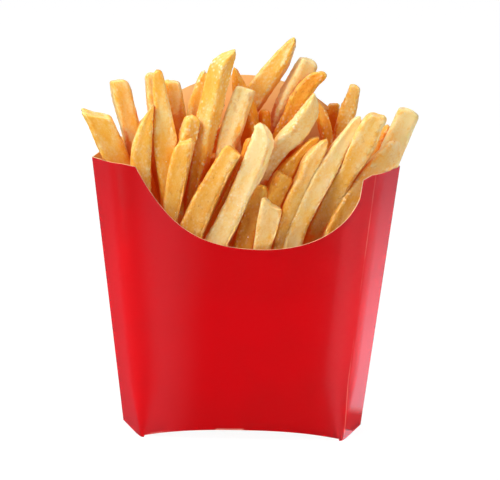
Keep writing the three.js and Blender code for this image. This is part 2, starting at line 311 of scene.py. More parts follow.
def new_object(name, data):
    made = bpy.data.objects.new(name, data)
    bpy.context.scene.collection.objects.link(made)
    return made


def merge_and_turn_out(mesh):
    """Merges doubles and makes the faces of a closed or open shell point outwards."""
    work = bmesh.new()
    work.from_mesh(mesh)
    bmesh.ops.remove_doubles(work, verts=work.verts, dist=1e-6)
    bmesh.ops.recalc_face_normals(work, faces=work.faces)
    work.to_mesh(mesh)
    work.free()


def smooth_below(mesh, degrees):
    """Smooth shading, with a hard edge wherever two faces meet at more than this angle."""
    work = bmesh.new()
    work.from_mesh(mesh)
    for face in work.faces:
        face.smooth = True
    for edge in work.edges:
        edge.smooth = len(edge.link_faces) == 2 and edge.calc_face_angle(0) < math.radians(degrees)
    work.to_mesh(mesh)
    work.free()


def plain_copy(thing, name):
    """The object with its modifiers applied, as a new object with none."""
    seen = thing.evaluated_get(bpy.context.evaluated_depsgraph_get())
    mesh = bpy.data.meshes.new_from_object(seen)
    mesh.name = name
    bpy.data.objects.remove(thing)
    return new_object(name, mesh)


def add_node(tree, kind, inputs=None, **settings):
    """One node, with its settings, and its inputs given as values or as other nodes' outputs."""
    node = tree.nodes.new(kind)
    for key, value in settings.items():
        setattr(node, key, value)
    for key, value in (inputs or {}).items():
        socket = node.inputs[key]
        if isinstance(value, bpy.types.NodeSocket):
            tree.links.new(value, socket)
        else:
            socket.default_value = value
    return node


def sums(tree, operation, a, b=0.0, clamp=False):
    return add_node(tree, "ShaderNodeMath", {0: a, 1: b}, operation=operation, use_clamp=clamp).outputs[0]


def ramp_between(tree, value, low, high, start=0.0, end=1.0):
    """A soft step of a value between two levels."""
    return add_node(tree, "ShaderNodeMapRange", {
        "Value": value, "From Min": low, "From Max": high, "To Min": start, "To Max": end},
        interpolation_type="SMOOTHSTEP").outputs["Result"]


def blended(tree, share, a, b):
    """Colour a turning to colour b as the share goes from 0 to 1."""
    return add_node(tree, "ShaderNodeMix", {0: share, 6: a, 7: b}, data_type="RGBA").outputs[2]


def shade(red, green, blue):
    """A colour given as it looks on a screen, 0 to 255, as the renderer's own values."""
    def linear(c):
        c /= 255
        return c / 12.92 if c <= 0.04045 else ((c + 0.055) / 1.055) ** 2.4
    return (linear(red), linear(green), linear(blue), 1.0)


def new_group(name, inputs, outputs, kind="ShaderNodeTree"):
    """A node group, and the sockets that its inputs come from and its outputs go to."""
    group = bpy.data.node_groups.new(name, kind)
    for label, socket_type, value in inputs:
        socket = group.interface.new_socket(label, in_out="INPUT", socket_type="NodeSocket" + socket_type)
        if value is not None:
            socket.default_value = value
    for label, socket_type in outputs:
        group.interface.new_socket(label, in_out="OUTPUT", socket_type="NodeSocket" + socket_type)
    return group, group.nodes.new("NodeGroupInput").outputs, group.nodes.new("NodeGroupOutput").inputs


def new_material(name):
    made = bpy.data.materials.new(name)
    made.use_nodes = True
    return made, made.node_tree, made.node_tree.nodes["Principled BSDF"]


def board_grain_group():
    """Paper fibres: a fine height and a slow mottle, for every face of the board."""
    group, given, out = new_group(
        "board grain", [("Fibre Size", "Float", 1800.0), ("Mottle Size", "Float", 30.0)],
        [("Height", "Float"), ("Mottle", "Float")])
    place = add_node(group, "ShaderNodeTexCoord").outputs["Object"]
    for size, detail, socket in (("Fibre Size", 3.0, "Height"), ("Mottle Size", 4.0, "Mottle")):
        noise = add_node(group, "ShaderNodeTexNoise", {
            "Vector": place, "Scale": given[size], "Detail": detail})
        group.links.new(noise.outputs["Fac"], out[socket])
    return group


board_grain = board_grain_group()


def board_material(name, face, deep, rough, bump, specular, worn=None, through=0.0):
    """A face of the board: its colour mottled towards a deeper one, worn through if asked, and given a
    faint painted glow in its own colour, standing for the light that comes through the thin board."""
    made, tree, shader = new_material(name)
    grain = add_node(tree, "ShaderNodeGroup", node_tree=board_grain)
    mottle = ramp_between(tree, grain.outputs["Mottle"], 0.35, 0.68)
    colour = blended(tree, mottle, face, deep)
    if worn:
        wear = add_node(tree, "ShaderNodeAttribute", attribute_name="wear").outputs["Fac"]
        broken = ramp_between(tree, grain.outputs["Mottle"], 0.38, 0.58)
        rubbed = sums(tree, "MULTIPLY", wear, broken)
        colour = blended(tree, rubbed, colour, worn)
    tree.links.new(colour, shader.inputs["Base Color"])
    tree.links.new(ramp_between(tree, grain.outputs["Mottle"], 0.3, 0.7, rough - 0.05, rough + 0.05),
                   shader.inputs["Roughness"])
    relief = add_node(tree, "ShaderNodeBump", {
        "Height": grain.outputs["Height"], "Strength": 0.35, "Distance": bump})
    tree.links.new(relief.outputs["Normal"], shader.inputs["Normal"])
    shader.inputs["Specular IOR Level"].default_value = specular
    # painted glow: the face glows in its own colour, as strongly as asked
    tree.links.new(colour, shader.inputs["Emission Color"])
    shader.inputs["Emission Strength"].default_value = through
    return made


carton_surface = carton_mesh()
merge_and_turn_out(carton_surface)
carton = new_object("carton_board", carton_surface)
red_coat = board_material("red coated board", shade(194, 10, 17), shade(189, 9, 15),
                          rough=0.12, bump=0.00001, specular=0.35, worn=shade(236, 150, 132))
bare_board = board_material("bare board inside", shade(251, 208, 142), shade(246, 196, 126),
                            rough=0.7, bump=0.00004, specular=0.3, through=0.03)
cut_board = board_material("cut edge of the board", shade(240, 214, 180), shade(226, 190, 150),
                           rough=0.75, bump=0.00004, specular=0.3)
for material in (red_coat, bare_board, cut_board):
    carton_surface.materials.append(material)
wall = carton.modifiers.new("board thickness", "SOLIDIFY")
wall.thickness = BOARD * MM
wall.offset = -1.0
wall.use_even_offset = True
wall.material_offset = 1
wall.material_offset_rim = 2
carton = plain_copy(carton, "carton_board")
smooth_below(carton.data, 38)
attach(carton, "root")
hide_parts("carton")


# ---------------------------------------------------------------------------------------------
# Core
# The fries at the bottom of the carton, pressed together so that none can be told apart. It ends
# well below the scoop, under the upright fries.
# ---------------------------------------------------------------------------------------------
CORE_GAP, CORE_FOOT, CORE_TOP, CORE_RISE = 1.6, 1.6, 50.0, 0.5
CORE_SIDE_GAP, CORE_LUMP = 4.5, 1.6
CORE_ROWS, CORE_RINGS, CORE_STEPS = 10, 7, 72
CORE_SQUARE_X, CORE_SQUARE_Y = 0.75, 0.35  # how square its outline is; 1 is an ellipse
CORE_LUMP_X, CORE_LUMP_Y = 0.8, 0.9


def vectors(tree, operation, a, b):
    return add_node(tree, "ShaderNodeVectorMath", {0: a, "Scale" if operation == "SCALE" else 1: b},
                    operation=operation).outputs["Value" if operation == "DOT_PRODUCT" else "Vector"]


def skin_noise(tree, skin, across, along, detail=3.0, rough=0.5, distort=0.0):
    """Noise on a fry's skin, with its own scale across the fry and along it."""
    place = vectors(tree, "MULTIPLY", skin, (across, across, along))
    return add_node(tree, "ShaderNodeTexNoise", {
        "Vector": place, "Scale": 1.0, "Detail": detail, "Roughness": rough,
        "Distortion": distort}).outputs[0]


def blister_mask(tree, skin, edge, crust):
    """Where the crust has puffed up into blisters: small rounds in patches, most along the edges."""
    rounds = add_node(tree, "ShaderNodeTexVoronoi", {
        "Vector": vectors(tree, "MULTIPLY", skin, (0.85, 0.85, 0.7)), "Scale": 1.0}, feature="F1")
    rounds = ramp_between(tree, rounds.outputs["Distance"], 0.5, 0.12)
    patches = ramp_between(tree, skin_noise(tree, skin, 0.22, 0.13, 2.0), 0.38, 0.58)
    amount = sums(tree, "MULTIPLY", sums(tree, "ADD", sums(tree, "MULTIPLY", edge, 0.65), 0.4), crust)
    return sums(tree, "MULTIPLY", sums(tree, "MULTIPLY", rounds, patches), amount)


def crust_group():
    """The skin of a fried potato: pale in the middle of a face, golden along its edges, deeper gold or
    browned in places, with wrinkles, and with blisters that are paler and shinier, their paleness partly
    real and partly a painted highlight. Lower down the colour is darkened, a painted shade, and where a
    fry is shut in between others it turns to a painted deep orange shade and gets a faint painted glow,
    standing for the light that came through the potato."""
    group, given, out = new_group(
        "fried crust",
        [("Skin", "Vector", None), ("Edge", "Float", 0.0), ("Tone", "Float", 0.4), ("Browned", "Float", 0.0),
         ("Crust", "Float", 0.5), ("Low", "Float", 0.0), ("Shut", "Float", 0.0),
         ("Pale", "Color", shade(252, 224, 162)), ("Golden", "Color", shade(249, 187, 70)),
         ("Deep", "Color", shade(240, 150, 26)), ("Brown", "Color", shade(196, 112, 34)),
         ("Blister And Glint", "Color", shade(255, 240, 204)), ("Painted Gap Shade", "Color", shade(214, 98, 12)),
         ("Painted Gap Glow", "Color", shade(76, 21, 1)), ("Painted Low Shade", "Color", (0.68, 0.58, 0.46, 1.0))],
        [("Color", "Color"), ("Roughness", "Float"), ("Height", "Float"), ("Coat", "Float"),
         ("Painted Glow", "Color")])

    broad = skin_noise(group, given["Skin"], 0.2, 0.075, 2.0, 0.55)
    blotch = skin_noise(group, given["Skin"], 0.75, 0.42, 4.0, 0.6, 0.4)
    wrinkle = skin_noise(group, given["Skin"], 2.0, 1.4, 4.0, 0.6)
    grit = skin_noise(group, given["Skin"], 5.5, 3.6, 3.0, 0.55)
    spots = skin_noise(group, given["Skin"], 0.5, 0.36, 3.0, 0.6, 0.8)
    # how golden: the fry's own tone, its blotches and its edges
    gold = given["Tone"]
    for pattern, amount in ((broad, 0.9), (blotch, 0.45), (wrinkle, 0.5)):
        swing = sums(group, "MULTIPLY", sums(group, "SUBTRACT", pattern, 0.5), amount)
        gold = sums(group, "ADD", gold, swing)
    rim = sums(group, "MULTIPLY", given["Edge"], ramp_between(group, blotch, 0.35, 0.65, -0.14, 0.14))
    gold = sums(group, "ADD", gold, rim, clamp=True)
    colour = blended(group, ramp_between(group, gold, 0.02, 0.6), given["Pale"], given["Golden"])
    colour = blended(group, ramp_between(group, gold, 0.5, 1.0), colour, given["Deep"])
    patch = sums(group, "MULTIPLY", ramp_between(group, spots, 0.56, 0.72), given["Browned"], clamp=True)
    colour = blended(group, patch, colour, given["Brown"])
    blister = blister_mask(group, given["Skin"], given["Edge"], given["Crust"])
    # the blisters' paler colour: partly the real paler puffed crust, partly a painted highlight
    colour = blended(group, sums(group, "MULTIPLY", blister, 0.9, clamp=True), colour, given["Blister And Glint"])
    # painted shade: lower down, the colour is darkened towards the Painted Low Shade colour
    colour = vectors(group, "MULTIPLY", colour, blended(group, given["Low"], (1, 1, 1, 1), given["Painted Low Shade"]))
    # painted shade and glow: where a place is shut in, its colour turns to a deep orange shade, it gets a
    # faint orange glow, and it loses its coat
    shut = ramp_between(group, given["Shut"], 0.64, 1.0)
    colour = blended(group, sums(group, "MULTIPLY", shut, 0.9), colour, given["Painted Gap Shade"])
    group.links.new(colour, out["Color"])
    group.links.new(blended(group, shut, (0, 0, 0, 1), given["Painted Gap Glow"]), out["Painted Glow"])
    group.links.new(sums(group, "SUBTRACT", 1.0, shut), out["Coat"])
    rough = ramp_between(group, blotch, 0.3, 0.7, 0.36, 0.52)
    group.links.new(sums(group, "SUBTRACT", rough, sums(group, "MULTIPLY", blister, 0.14)), out["Roughness"])
    height = sums(group, "ADD", sums(group, "MULTIPLY", wrinkle, 0.6), sums(group, "MULTIPLY", grit, 0.25))
    group.links.new(sums(group, "ADD", height, sums(group, "MULTIPLY", blister, 0.5)), out["Height"])
    return group


fried_crust = crust_group()


def potato_material(name, subsurface, bump, coat):
    made, tree, shader = new_material(name)
    crust = add_node(tree, "ShaderNodeGroup", node_tree=fried_crust)
    for label in ("skin", "edge", "tone", "browned", "crust", "low", "shut"):
        read = add_node(tree, "ShaderNodeAttribute", attribute_name=label)
        tree.links.new(read.outputs["Vector" if label == "skin" else "Fac"], crust.inputs[label.title()])
    tree.links.new(crust.outputs["Color"], shader.inputs["Base Color"])
    tree.links.new(crust.outputs["Roughness"], shader.inputs["Roughness"])
    relief = add_node(tree, "ShaderNodeBump", {
        "Height": crust.outputs["Height"], "Strength": 0.5, "Distance": bump})
    tree.links.new(relief.outputs["Normal"], shader.inputs["Normal"])
    shader.inputs["Subsurface Weight"].default_value = subsurface
    shader.inputs["Subsurface Radius"].default_value = (1.0, 0.65, 0.3)
    shader.inputs["Subsurface Scale"].default_value = 0.0022
    shader.inputs["Specular IOR Level"].default_value = 0.25
    tree.links.new(sums(tree, "MULTIPLY", crust.outputs["Coat"], coat), shader.inputs["Coat Weight"])
    shader.inputs["Coat Roughness"].default_value = 0.25
    # a painted glow where a fry is shut in between others
    tree.links.new(crust.outputs["Painted Glow"], shader.inputs["Emission Color"])
    shader.inputs["Emission Strength"].default_value = 1.0
    return made


LIMIT_MARKS = np.linspace(-2, 2, 161)


def wall_limit(x, z):
    """How far from the middle things inside the carton can reach in y, at x and z."""
    x, z = np.atleast_1d(np.asarray(x, float)), np.atleast_1d(np.asarray(z, float))
    limit = np.zeros(x.shape)
    levels = np.round(z)
    for level in np.unique(levels):
        here = levels == level
        outline = wall_point(LIMIT_MARKS, level + 0 * LIMIT_MARKS, 1)
        limit[here] = np.interp(x[here], outline[:, 0], outline[:, 1])
    return limit - BOARD


def core_mesh():
    angles = np.linspace(0, 2 * np.pi, CORE_STEPS, endpoint=False)
    verts, faces = [], []
    for r in range(CORE_ROWS + CORE_RINGS):
        rising = min(r / (CORE_ROWS - 1), 1)
        shrink = 1 - max(r - CORE_ROWS + 1, 0) / (CORE_RINGS + 0.5)
        for a in angles:
            z = CORE_FOOT + ARCH_RISE + rising * (CORE_TOP - CORE_FOOT - ARCH_RISE)
            reach = side_x(z) - CORE_SIDE_GAP
            x = reach * math.copysign(abs(math.cos(a)) ** CORE_SQUARE_X, math.cos(a))
            y = math.copysign(1, math.sin(a)) * abs(math.sin(a)) ** CORE_SQUARE_Y
            y *= wall_limit(x, z)[0] - CORE_GAP
            lump = CORE_LUMP * math.sin(x * CORE_LUMP_X) * math.cos(y * CORE_LUMP_Y) * rising
            verts.append((x * shrink, y * shrink, z + (lump + CORE_RISE * y) * (shrink < 1)))
        if r:
            faces += ring_faces((r - 1) * CORE_STEPS, r * CORE_STEPS, CORE_STEPS)
    faces.append(tuple(range(CORE_STEPS))[::-1])
    last = (CORE_ROWS + CORE_RINGS - 1) * CORE_STEPS
    verts.append((0, 0, CORE_TOP))
    faces += [(last + i, last + (i + 1) % CORE_STEPS, len(verts) - 1) for i in range(CORE_STEPS)]
    mesh = bpy.data.meshes.new("fries_core")
    mesh.from_pydata(in_metres(verts), [], faces)
    give(mesh, "skin", verts, "FLOAT_VECTOR")
    for name, value in (("edge", 0.4), ("tone", 1.0), ("browned", 0.5), ("crust", 0.0)):
        give(mesh, name, np.full(len(verts), value))
    return mesh


fries_skin = potato_material("fried potato", subsurface=0.45, bump=0.00016, coat=0.3)
core_surface = core_mesh()
merge_and_turn_out(core_surface)
core_surface.materials.append(fries_skin)
smooth_below(core_surface, 50)
core = new_object("fries_core", core_surface)
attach(core, "root")
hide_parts("fries")


# ---------------------------------------------------------------------------------------------
# Fries that stand out of the carton
# Sticks cut from whole potatoes and fried in oil, each with its own bend, taper, tone and end.
# Their faces sink a little as they cook, their edges stay crisp, and blisters rise where the
# crust puffs up. They lean on each other and on the board.
# ---------------------------------------------------------------------------------------------
# Each fry: the tip and foot of its middle line, its width and thickness, its bow to the right, its
# turn in degrees (to the left is positive), the dip of its cut end, its tone from pale to deep
# gold, how browned it is, how blistered its crust is, and how its outline runs on the left and the
# right (distance below the tip, place beside the middle line).
BUNDLES = {
    "fries_left": [
        dict(tip=(-55, -6, 118), foot=(-29, -1, 60), size=(9.8, 8.5), turn=8, tone=.42, crust=.4,
             left=[(-2.9, -4.6), (1, -4.3), (17, -4.6)], right=[(3, 3.6), (3.8, 4.6), (5, 4.9), (24, 5)]),
        dict(tip=(-47, 5, 128), foot=(-27, 1, 58), size=(7.8, 7.6), bow=-1, turn=12, tone=.3, crust=.5,
             left=[(-.9, -3.8), (6, -4.2), (16, -3.7)], right=[(-.3, 2), (.5, 2.8), (2.4, 3.7), (16, 3.8)]),
        dict(tip=(-36, -12.5, 119.5), foot=(-38, -12, 66), size=(7.3, 7), bow=-1, turn=6, tone=.45,
             browned=.2, crust=.6, left=[(-2.9, 1.6), (0, 0), (4.2, -2.2), (13.3, -4.6), (21, -4.4)],
             right=[(-2.9, 2.1), (6, 2.9), (17, 3.2), (28, 3.8)]),
        dict(tip=(-36, 0, 131.5), foot=(-24, 0, 60), size=(6.6, 6.6), turn=12, tone=.3, crust=.7,
             left=[(-.4, -.8), (.4, -1.5), (1.4, -2), (6, -2.4), (12.5, -2.7)],
             right=[(-.4, 1.6), (1.5, 3.2), (12, 4)]),
        dict(tip=(-33, -8, 134), foot=(-23, -12, 56), size=(7.2, 7), bow=1.2, turn=3, tone=.45, crust=.4,
             left=[(.4, -1.6), (3.3, -2.2), (13.4, -3.4), (20, -5.2), (30, -6.2), (41, -5.4), (47, -5.4)],
             right=[(-.4, .8), (.2, 1.7), (1.6, 2.1), (8, 2.5), (17, 3.2), (24, 3.6), (45, 3.2)]),
        dict(tip=(-28, 8.5, 129), foot=(-18, 10, 75), size=(6.6, 6.4), bow=.5, turn=2, tone=.38,
             browned=.1, crust=.35, left=[(.2, -3), (14, -4.4)],
             right=[(1.4, 1.8), (2.2, 2.5), (3.5, 2.8), (14, 2.5)]),
        dict(tip=(-20.5, -10, 118), foot=(-31, -8, 72), size=(6.6, 6), bow=-.5, turn=18, tone=.5,
             browned=.35, crust=1.3, left=[(.2, -1.6), (2, -2.3), (5, -2.2), (8, -2.6)],
             right=[(-.6, 1.4), (0, 3), (1.2, 4.1), (7, 4.3)]),
    ],
    "fries_front_left": [
        dict(tip=(-22.3, -15.5, 109.5), foot=(-31, -14, 62), size=(8, 8), turn=-4, tone=.42, browned=.25,
             crust=.4, left=[(.6, -2), (1.4, -2.8), (3.6, -3.6), (10.8, -4), (25, -3.2)],
             right=[(-1.6, 2.6), (-.5, 3.3), (7, 3.6), (26, 3.4)]),
        dict(tip=(-4.4, -15, 107), foot=(-22, -15.5, 71), size=(8.8, 7.6), bow=-.6, turn=-14, tone=.45,
             browned=.6, crust=.6, left=[(-.3, -3.6), (1.3, -4.2), (12, -4.5), (19, -5.2), (32, -5)],
             right=[(.5, 3.6), (8, 3.3), (17, 4), (32, 5)]),
        dict(tip=(5.1, -14, 115.5), foot=(-16, -15.5, 60), size=(9, 8.2), bow=3, turn=-12, tone=.1,
             crust=1,
             left=[(-1.2, -1.4), (-.3, -2.5), (1, -2.8), (2.5, -2.5), (7.5, -3.4), (13, -4), (25, -5),
                   (45, -6.1)],
             right=[(-.9, .6), (.8, 2.8), (2.3, 4.2), (4.2, 5.7), (9, 5.5), (16, 5), (25, 3.6), (44, 3)]),
    ],
    "fries_tall": [
        dict(tip=(-7.5, -5, 140.5), foot=(-22, -9, 64), size=(8.4, 7.6), bow=-3, turn=-36, tone=.5,
             browned=.15, crust=1.3,
             left=[(-2, 1.5), (0, -1), (1.3, -2.4), (2.6, -3.9), (4.6, -4.6), (7, -4.9), (18, -4.1),
                   (25, -4), (49, -1.5)],
             right=[(-1.5, 2.6), (.3, 3), (2, 3.1), (7, 3.4), (16.5, 4.3), (22, 4.7), (41, 4.7),
                    (50, 3.4)]),
        dict(tip=(-15.6, 1, 132.5), foot=(-27, -2, 90), size=(6, 6), turn=0, tone=.45, crust=1.1,
             left=[(-.5, -1), (.4, -1.6), (1.5, -2), (4.5, -2.4), (13.5, -3), (16, -2.4)],
             right=[(.4, .3), (1.5, 1.6), (4, 2.6), (16, 3)]),
        dict(tip=(-.9, -3, 127.6), foot=(-13, -10, 64), size=(7.1, 6.6), bow=-2, turn=-16, tone=.22,
             browned=.3, crust=.4,
             left=[(0, -3.5), (2, -3.9), (6, -4.2), (10, -4.5), (21, -4.4), (29, -3.5)],
             right=[(-.2, 3.2), (.2, 4.1), (3, 3.9), (14, 3.9), (19, 3.4)]),
        dict(tip=(-5, 5, 133.5), foot=(3, 5, 70), size=(6.4, 6), bow=1.8, turn=-30, tone=.75, browned=.4,
             crust=.5, left=[(-.7, -.6), (1.5, -1.4), (3.7, -2), (8, -2.7), (20, -2.6)],
             right=[(0, .6), (1.3, 1.1), (3, 1.5), (7, 2.8), (13, 4.4), (19, 5.3)]),
        dict(tip=(15.5, 10, 143), foot=(-15, 13, 97), size=(8.3, 7.8), bow=.8, turn=-14, tone=.5,
             browned=.2, crust=.6,
             left=[(-1.9, -.5), (.2, -1.7), (2.3, -2.2), (5.7, -3), (12, -4.1), (23, -5)],
             right=[(-1.8, .3), (-.5, 1.5), (1.4, 2.3), (5.5, 3.4), (7.1, 4), (27, 4)]),
        dict(tip=(21.6, 11, 136.5), foot=(-2, 12, 85), size=(7.4, 7), bow=-1, turn=15, tone=.08,
             browned=.15, crust=1, left=[(.4, -3.1), (2.6, -3.3), (12, -3.5), (19, -3.2), (26, -2.2)],
             right=[(-.9, 2.4), (-.3, 3.4), (.2, 4.2), (2.6, 4.7), (20, 4.6)]),
        dict(tip=(24.8, 5, 131.7), foot=(7.5, 5, 98), size=(6.9, 6), bow=-.6, turn=-14, dip=-.8, tone=.68,
             browned=.6, crust=.7,
             left=[(.6, -2.4), (3.6, -3.6), (6, -4.1), (10, -4.9), (13.6, -4.4), (19, -3.5)],
             right=[(-2.3, 2.9), (-1.9, 3.4), (-.8, 3.6), (1.1, 3.2), (3.1, 2.5), (12, 2.6)]),
        dict(tip=(22.5, -6, 122), foot=(2, -7, 74), size=(8, 7.4), bow=-5, turn=14, tone=.2, browned=.3,
             crust=1.1,
             left=[(-4, -2.8), (-1.6, -2.5), (-.4, -1.95), (3.2, -1.9), (8.4, -1.4), (14.2, -2.4),
                   (20, -2.6)],
             right=[(-3.8, -2), (-3.3, 0), (-2.1, 2.4), (1.2, 4.7), (8.8, 6.4), (13.3, 5.9), (17.7, 4.5),
                    (23.3, 3.5), (29.3, 2.7), (36, 1.5), (40, 0)]),
        dict(tip=(1.3, -9, 110), foot=(-16, -12, 75), size=(6, 5), turn=8, tone=.75, browned=.3, crust=.5,
             left=[(-.5, -.6), (.5, -1.4), (1.8, -1.8), (5.3, -.9), (11, 0)],
             right=[(0, 1.5), (3, 2.4), (30, 2.4)]),
        dict(tip=(6, 6, 118.5), foot=(6.5, 6, 102), size=(5, 5), turn=30, tone=.8, browned=.3, crust=.5,
             left=[(0, -1.5), (1.5, -2.2), (10, -2.4)], right=[(0, 1.5), (1.5, 2.2), (10, 2.4)]),
    ],
    "fries_front_right": [
        dict(tip=(9.3, -16, 88.5), foot=(1.5, -16, 50), size=(8.8, 8), turn=8, dip=1, tone=.15,
             browned=.1, crust=.6, left=[(-1.5, -3.9), (0, -4.4), (3.7, -4.3), (19, -3.2)],
             right=[(1.2, 3.7), (2, 4.1), (6.7, 4.2), (17.4, 3.1)]),
        dict(tip=(5, -12, 94), foot=(-4, -14.5, 56), size=(8, 7), turn=-12, tone=.6, browned=.3, crust=.5,
             left=[(0, -2.6), (1.5, -3.6), (20, -4)], right=[(0, 2.6), (1.5, 3.6), (20, 4)]),
        dict(tip=(14.2, -11, 98.4), foot=(-2, -13, 60), size=(7.5, 7), turn=14, tone=.52, browned=.4,
             crust=.5, left=[(.4, -3.4), (3, -4.2), (10, -4.4)], right=[(1, 3), (1.7, 3.4), (12, 3.3)]),
        dict(tip=(25.5, -7, 110), foot=(13, -9, 97.5), size=(6.2, 6), bow=-.4, turn=6, tone=.75,
             browned=.4, crust=.5, left=[(-.7, -.8), (1.8, -2.4), (10, -2.3), (17, -2.6)],
             right=[(-.3, .6), (4, .8), (9, 1.2), (17, 4)]),
        dict(tip=(27.8, -11, 110), foot=(12, -15, 58), size=(6.4, 6.6), bow=-3, turn=6, tone=.36,
             browned=.3, crust=.5,
             left=[(-1.2, 0), (1, -1.6), (3, -2.9), (8.9, -4.3), (15.7, -3.6), (23.4, -4.7), (27, -4.8)],
             right=[(-1, .6), (.5, 1.5), (4.1, 2.5), (8, 2.4), (39, 2)]),
        dict(tip=(37.6, -8.5, 117), foot=(16.5, -15.5, 60), size=(8.4, 7.6), bow=-2.5, turn=-2, tone=.15,
             browned=.05, crust=.6,
             left=[(-3.1, 1), (-1.5, 0), (-.3, -.7), (2.8, -.9), (8.9, -2.1), (14.7, -3.1), (22.5, -4.6),
                   (36, -5.2), (50, -6)],
             right=[(-2.8, 2.1), (0, 3), (12, 3.6), (23.5, 3.4), (28, 2.6), (34, 1.9), (42, 1), (48, 1)]),
        dict(tip=(46.7, -13.5, 119.5), foot=(23, -5, 62), size=(8.8, 8), bow=-2.5, turn=-8, tone=.35,
             browned=.4, crust=.4,
             left=[(-.2, -2), (.6, -3.6), (3, -4.5), (8, -4.6), (14.5, -3.5), (21, -2.8), (37, -3.8),
                   (46, -4.7)],
             right=[(-1.4, 2), (-.6, 3.1), (.6, 3.5), (3, 3.7), (8, 4.8), (13, 5.3), (19, 4.6), (24, 4.3),
                    (31, 4.2), (45, 4.7)]),
        dict(tip=(53.6, -5.5, 108.4), foot=(31, -14, 64), size=(8, 7.6), bow=-3.5, turn=-2, tone=.3,
             browned=.35, crust=1,
             left=[(-.3, -1.8), (1.2, -2.7), (7, -3.2), (11, -3.8), (16, -4.3), (23, -4.9), (30, -5.6),
                   (38, -6)],
             right=[(-1.5, .6), (-.4, 1.9), (1.5, 3.6), (3.8, 4.6), (7, 4.5), (12, 4.2), (24, 2.5),
                    (30, 1.6)]),
    ],
    "fries_right": [
        dict(tip=(58.7, 0, 119.7), foot=(38.5, 0, 70), size=(8.4, 8), turn=-6, dip=-.7, tone=.1,
             browned=0, crust=.35, left=[(0, -4.1), (1, -4.5), (14, -4.4)],
             right=[(-.1, 3.5), (.6, 4), (17, 4)]),
        dict(tip=(51.3, 7, 113.2), foot=(39, 6, 80), size=(5.6, 5.6), turn=20, tone=.6, browned=.2,
             crust=.6, left=[(-.3, -.8), (1.5, -1.4), (3.4, -1.9), (8.3, -1.7)],
             right=[(0, 2), (1, 2.6), (10, 2.8)]),
        dict(tip=(39.3, 9, 127.2), foot=(25.5, 10, 80), size=(6.4, 6.2), bow=-.8, turn=-6, dip=-.4,
             tone=.55, browned=.3, crust=.8,
             left=[(-.3, -1.9), (.4, -2.4), (3.3, -2.1), (10, -3), (14, -2.3), (20, -1.6)],
             right=[(0, 1.6), (.8, 2.1), (4.3, 2.9), (9.8, 3.8), (20, 4)]),
        dict(tip=(31.6, 16, 120), foot=(27, 16, 85), size=(5.5, 5), tone=.85, browned=.4, crust=.5,
             left=[(.5, -1.9), (3, -2.4), (8, -2.4)], right=[(-.2, 2.1), (.8, 2.5), (10, 2.6)]),
        dict(tip=(25.9, 4, 121), foot=(33, 3, 85), size=(6.2, 6), bow=.7, turn=30, tone=.75, browned=.4,
             crust=1, left=[(-1.5, -.8), (1, -2), (3, -2.4)],
             right=[(-1, .6), (3.2, 2), (10, 2.7), (16, 1.6)]),
    ],
}
RING_STEP, HIDDEN_STEP = 0.42, 3.0  # spacing of a fry's sections where it shows, and below
TIP_STEPS = (0.0, 0.1, 0.26, 0.48, 0.76, 1.1)  # the first sections, from the tip down
HIDDEN_DEPTH = 8.0  # how far below the front's edge the close sections go on
HIDDEN_FOOT, HIDDEN_LEAST, HIDDEN_MOST = 30.0, 14.0, 42.0  # a fry goes on down to here, by so much
PAST_TIP = 6.0  # how far the middle line goes on beyond the tip
PATH_POINTS, HIDDEN_POINTS = 170, 60  # points along the middle line, and along its hidden part
HIDDEN_BEND, HIDDEN_INWARDS = 0.5, 0.9  # where the hidden part bends, and how far it comes inwards
EASE_BY_DEPTH, EASE_LEAST, EASE_MOST = 0.5, 0.05, 1.8  # how softly an outline runs between its marks
CORNER_ROUND, CORNER_SHARE = 1.7, 0.3  # rounding of the long edges, and its most, by the width
CUT_ROUND, CUT_SHARE = 0.75, 0.35  # rounding of the rim of a cut end, and its most, by the width
END_EDGE, END_EDGE_REACH, END_REACH = 0.9, 0.5, 1.5  # how crisp a cut end is, and how far down
DIP_REACH = 2.0  # how far down a dip in a cut end is felt
DEPTH_LEAST, DEPTH_MOST = 0.35, 1.1  # how a fry's depth goes with its width, least and most
END_SLOPE_REACH, END_SLOPE_LEAST = 2.2, 4.0  # how far down a slanting end is felt, by its height
END_HOLLOW, END_SKIN = 0.2, 5.0  # how far a cut end sinks in, and how far the skin runs on over it
FACE_SINK, SINK_WIDTH = 0.028, 0.8  # how deep and how wide a face sinks, by the fry's width
FACE_SHARE = 0.86  # how much of a face lies between its corners' points
SIDE_MARKS = (-0.66, -0.33, 0.0, 0.33, 0.66)  # points along each face of a section
CORNER_MARKS = (11, 34, 56, 79)  # and round each corner, in degrees
CREST, BESIDE_CREST, FACE_RIM, FACE_INNER = 1.0, 0.75, 0.35, 0.05  # how much of an edge a point is
CAP_RINGS = (0.8, 0.55, 0.28)
TWIST, TWIST_LENGTH = 5.0, 30.0
SWELLS = ((0.035, 8.7, 3), (0.02, 3.7, 4))  # how much a fry swells, over what length, which phase
FRY_SEED, SKIN_APART = 100, 37.0  # each fry's own seed and its own place in the skin's patterns
# painted shade: fries are made a deeper gold and darker below this height, over this length, and pale ones
# less so
DEEPER_BELOW, DEEPER_REACH, DEEPER_LEAST, DEEPER_BY_TONE = 112.0, 32.0, 0.4, 1.5
# each look's name, its usual value, and what is added lower down, as part of that painted shade
LOOKS = (("tone", 0.4, 0.1), ("browned", 0.1, 0.15), ("crust", 0.5, 0))


def section_marks():
    """The points of a section, in order round it: place along a face or corner, and edge value."""
    marks = []
    for quarter in range(4):
        turn = quarter * 90
        for f in SIDE_MARKS:
            marks.append(("face", turn, f, FACE_RIM if abs(f) > 0.5 else FACE_INNER * (abs(f) > 0.2)))
        for angle in CORNER_MARKS:
            marks.append(("corner", turn, angle, CREST if 20 < angle < 70 else BESIDE_CREST))
    return marks


SECTION = section_marks()


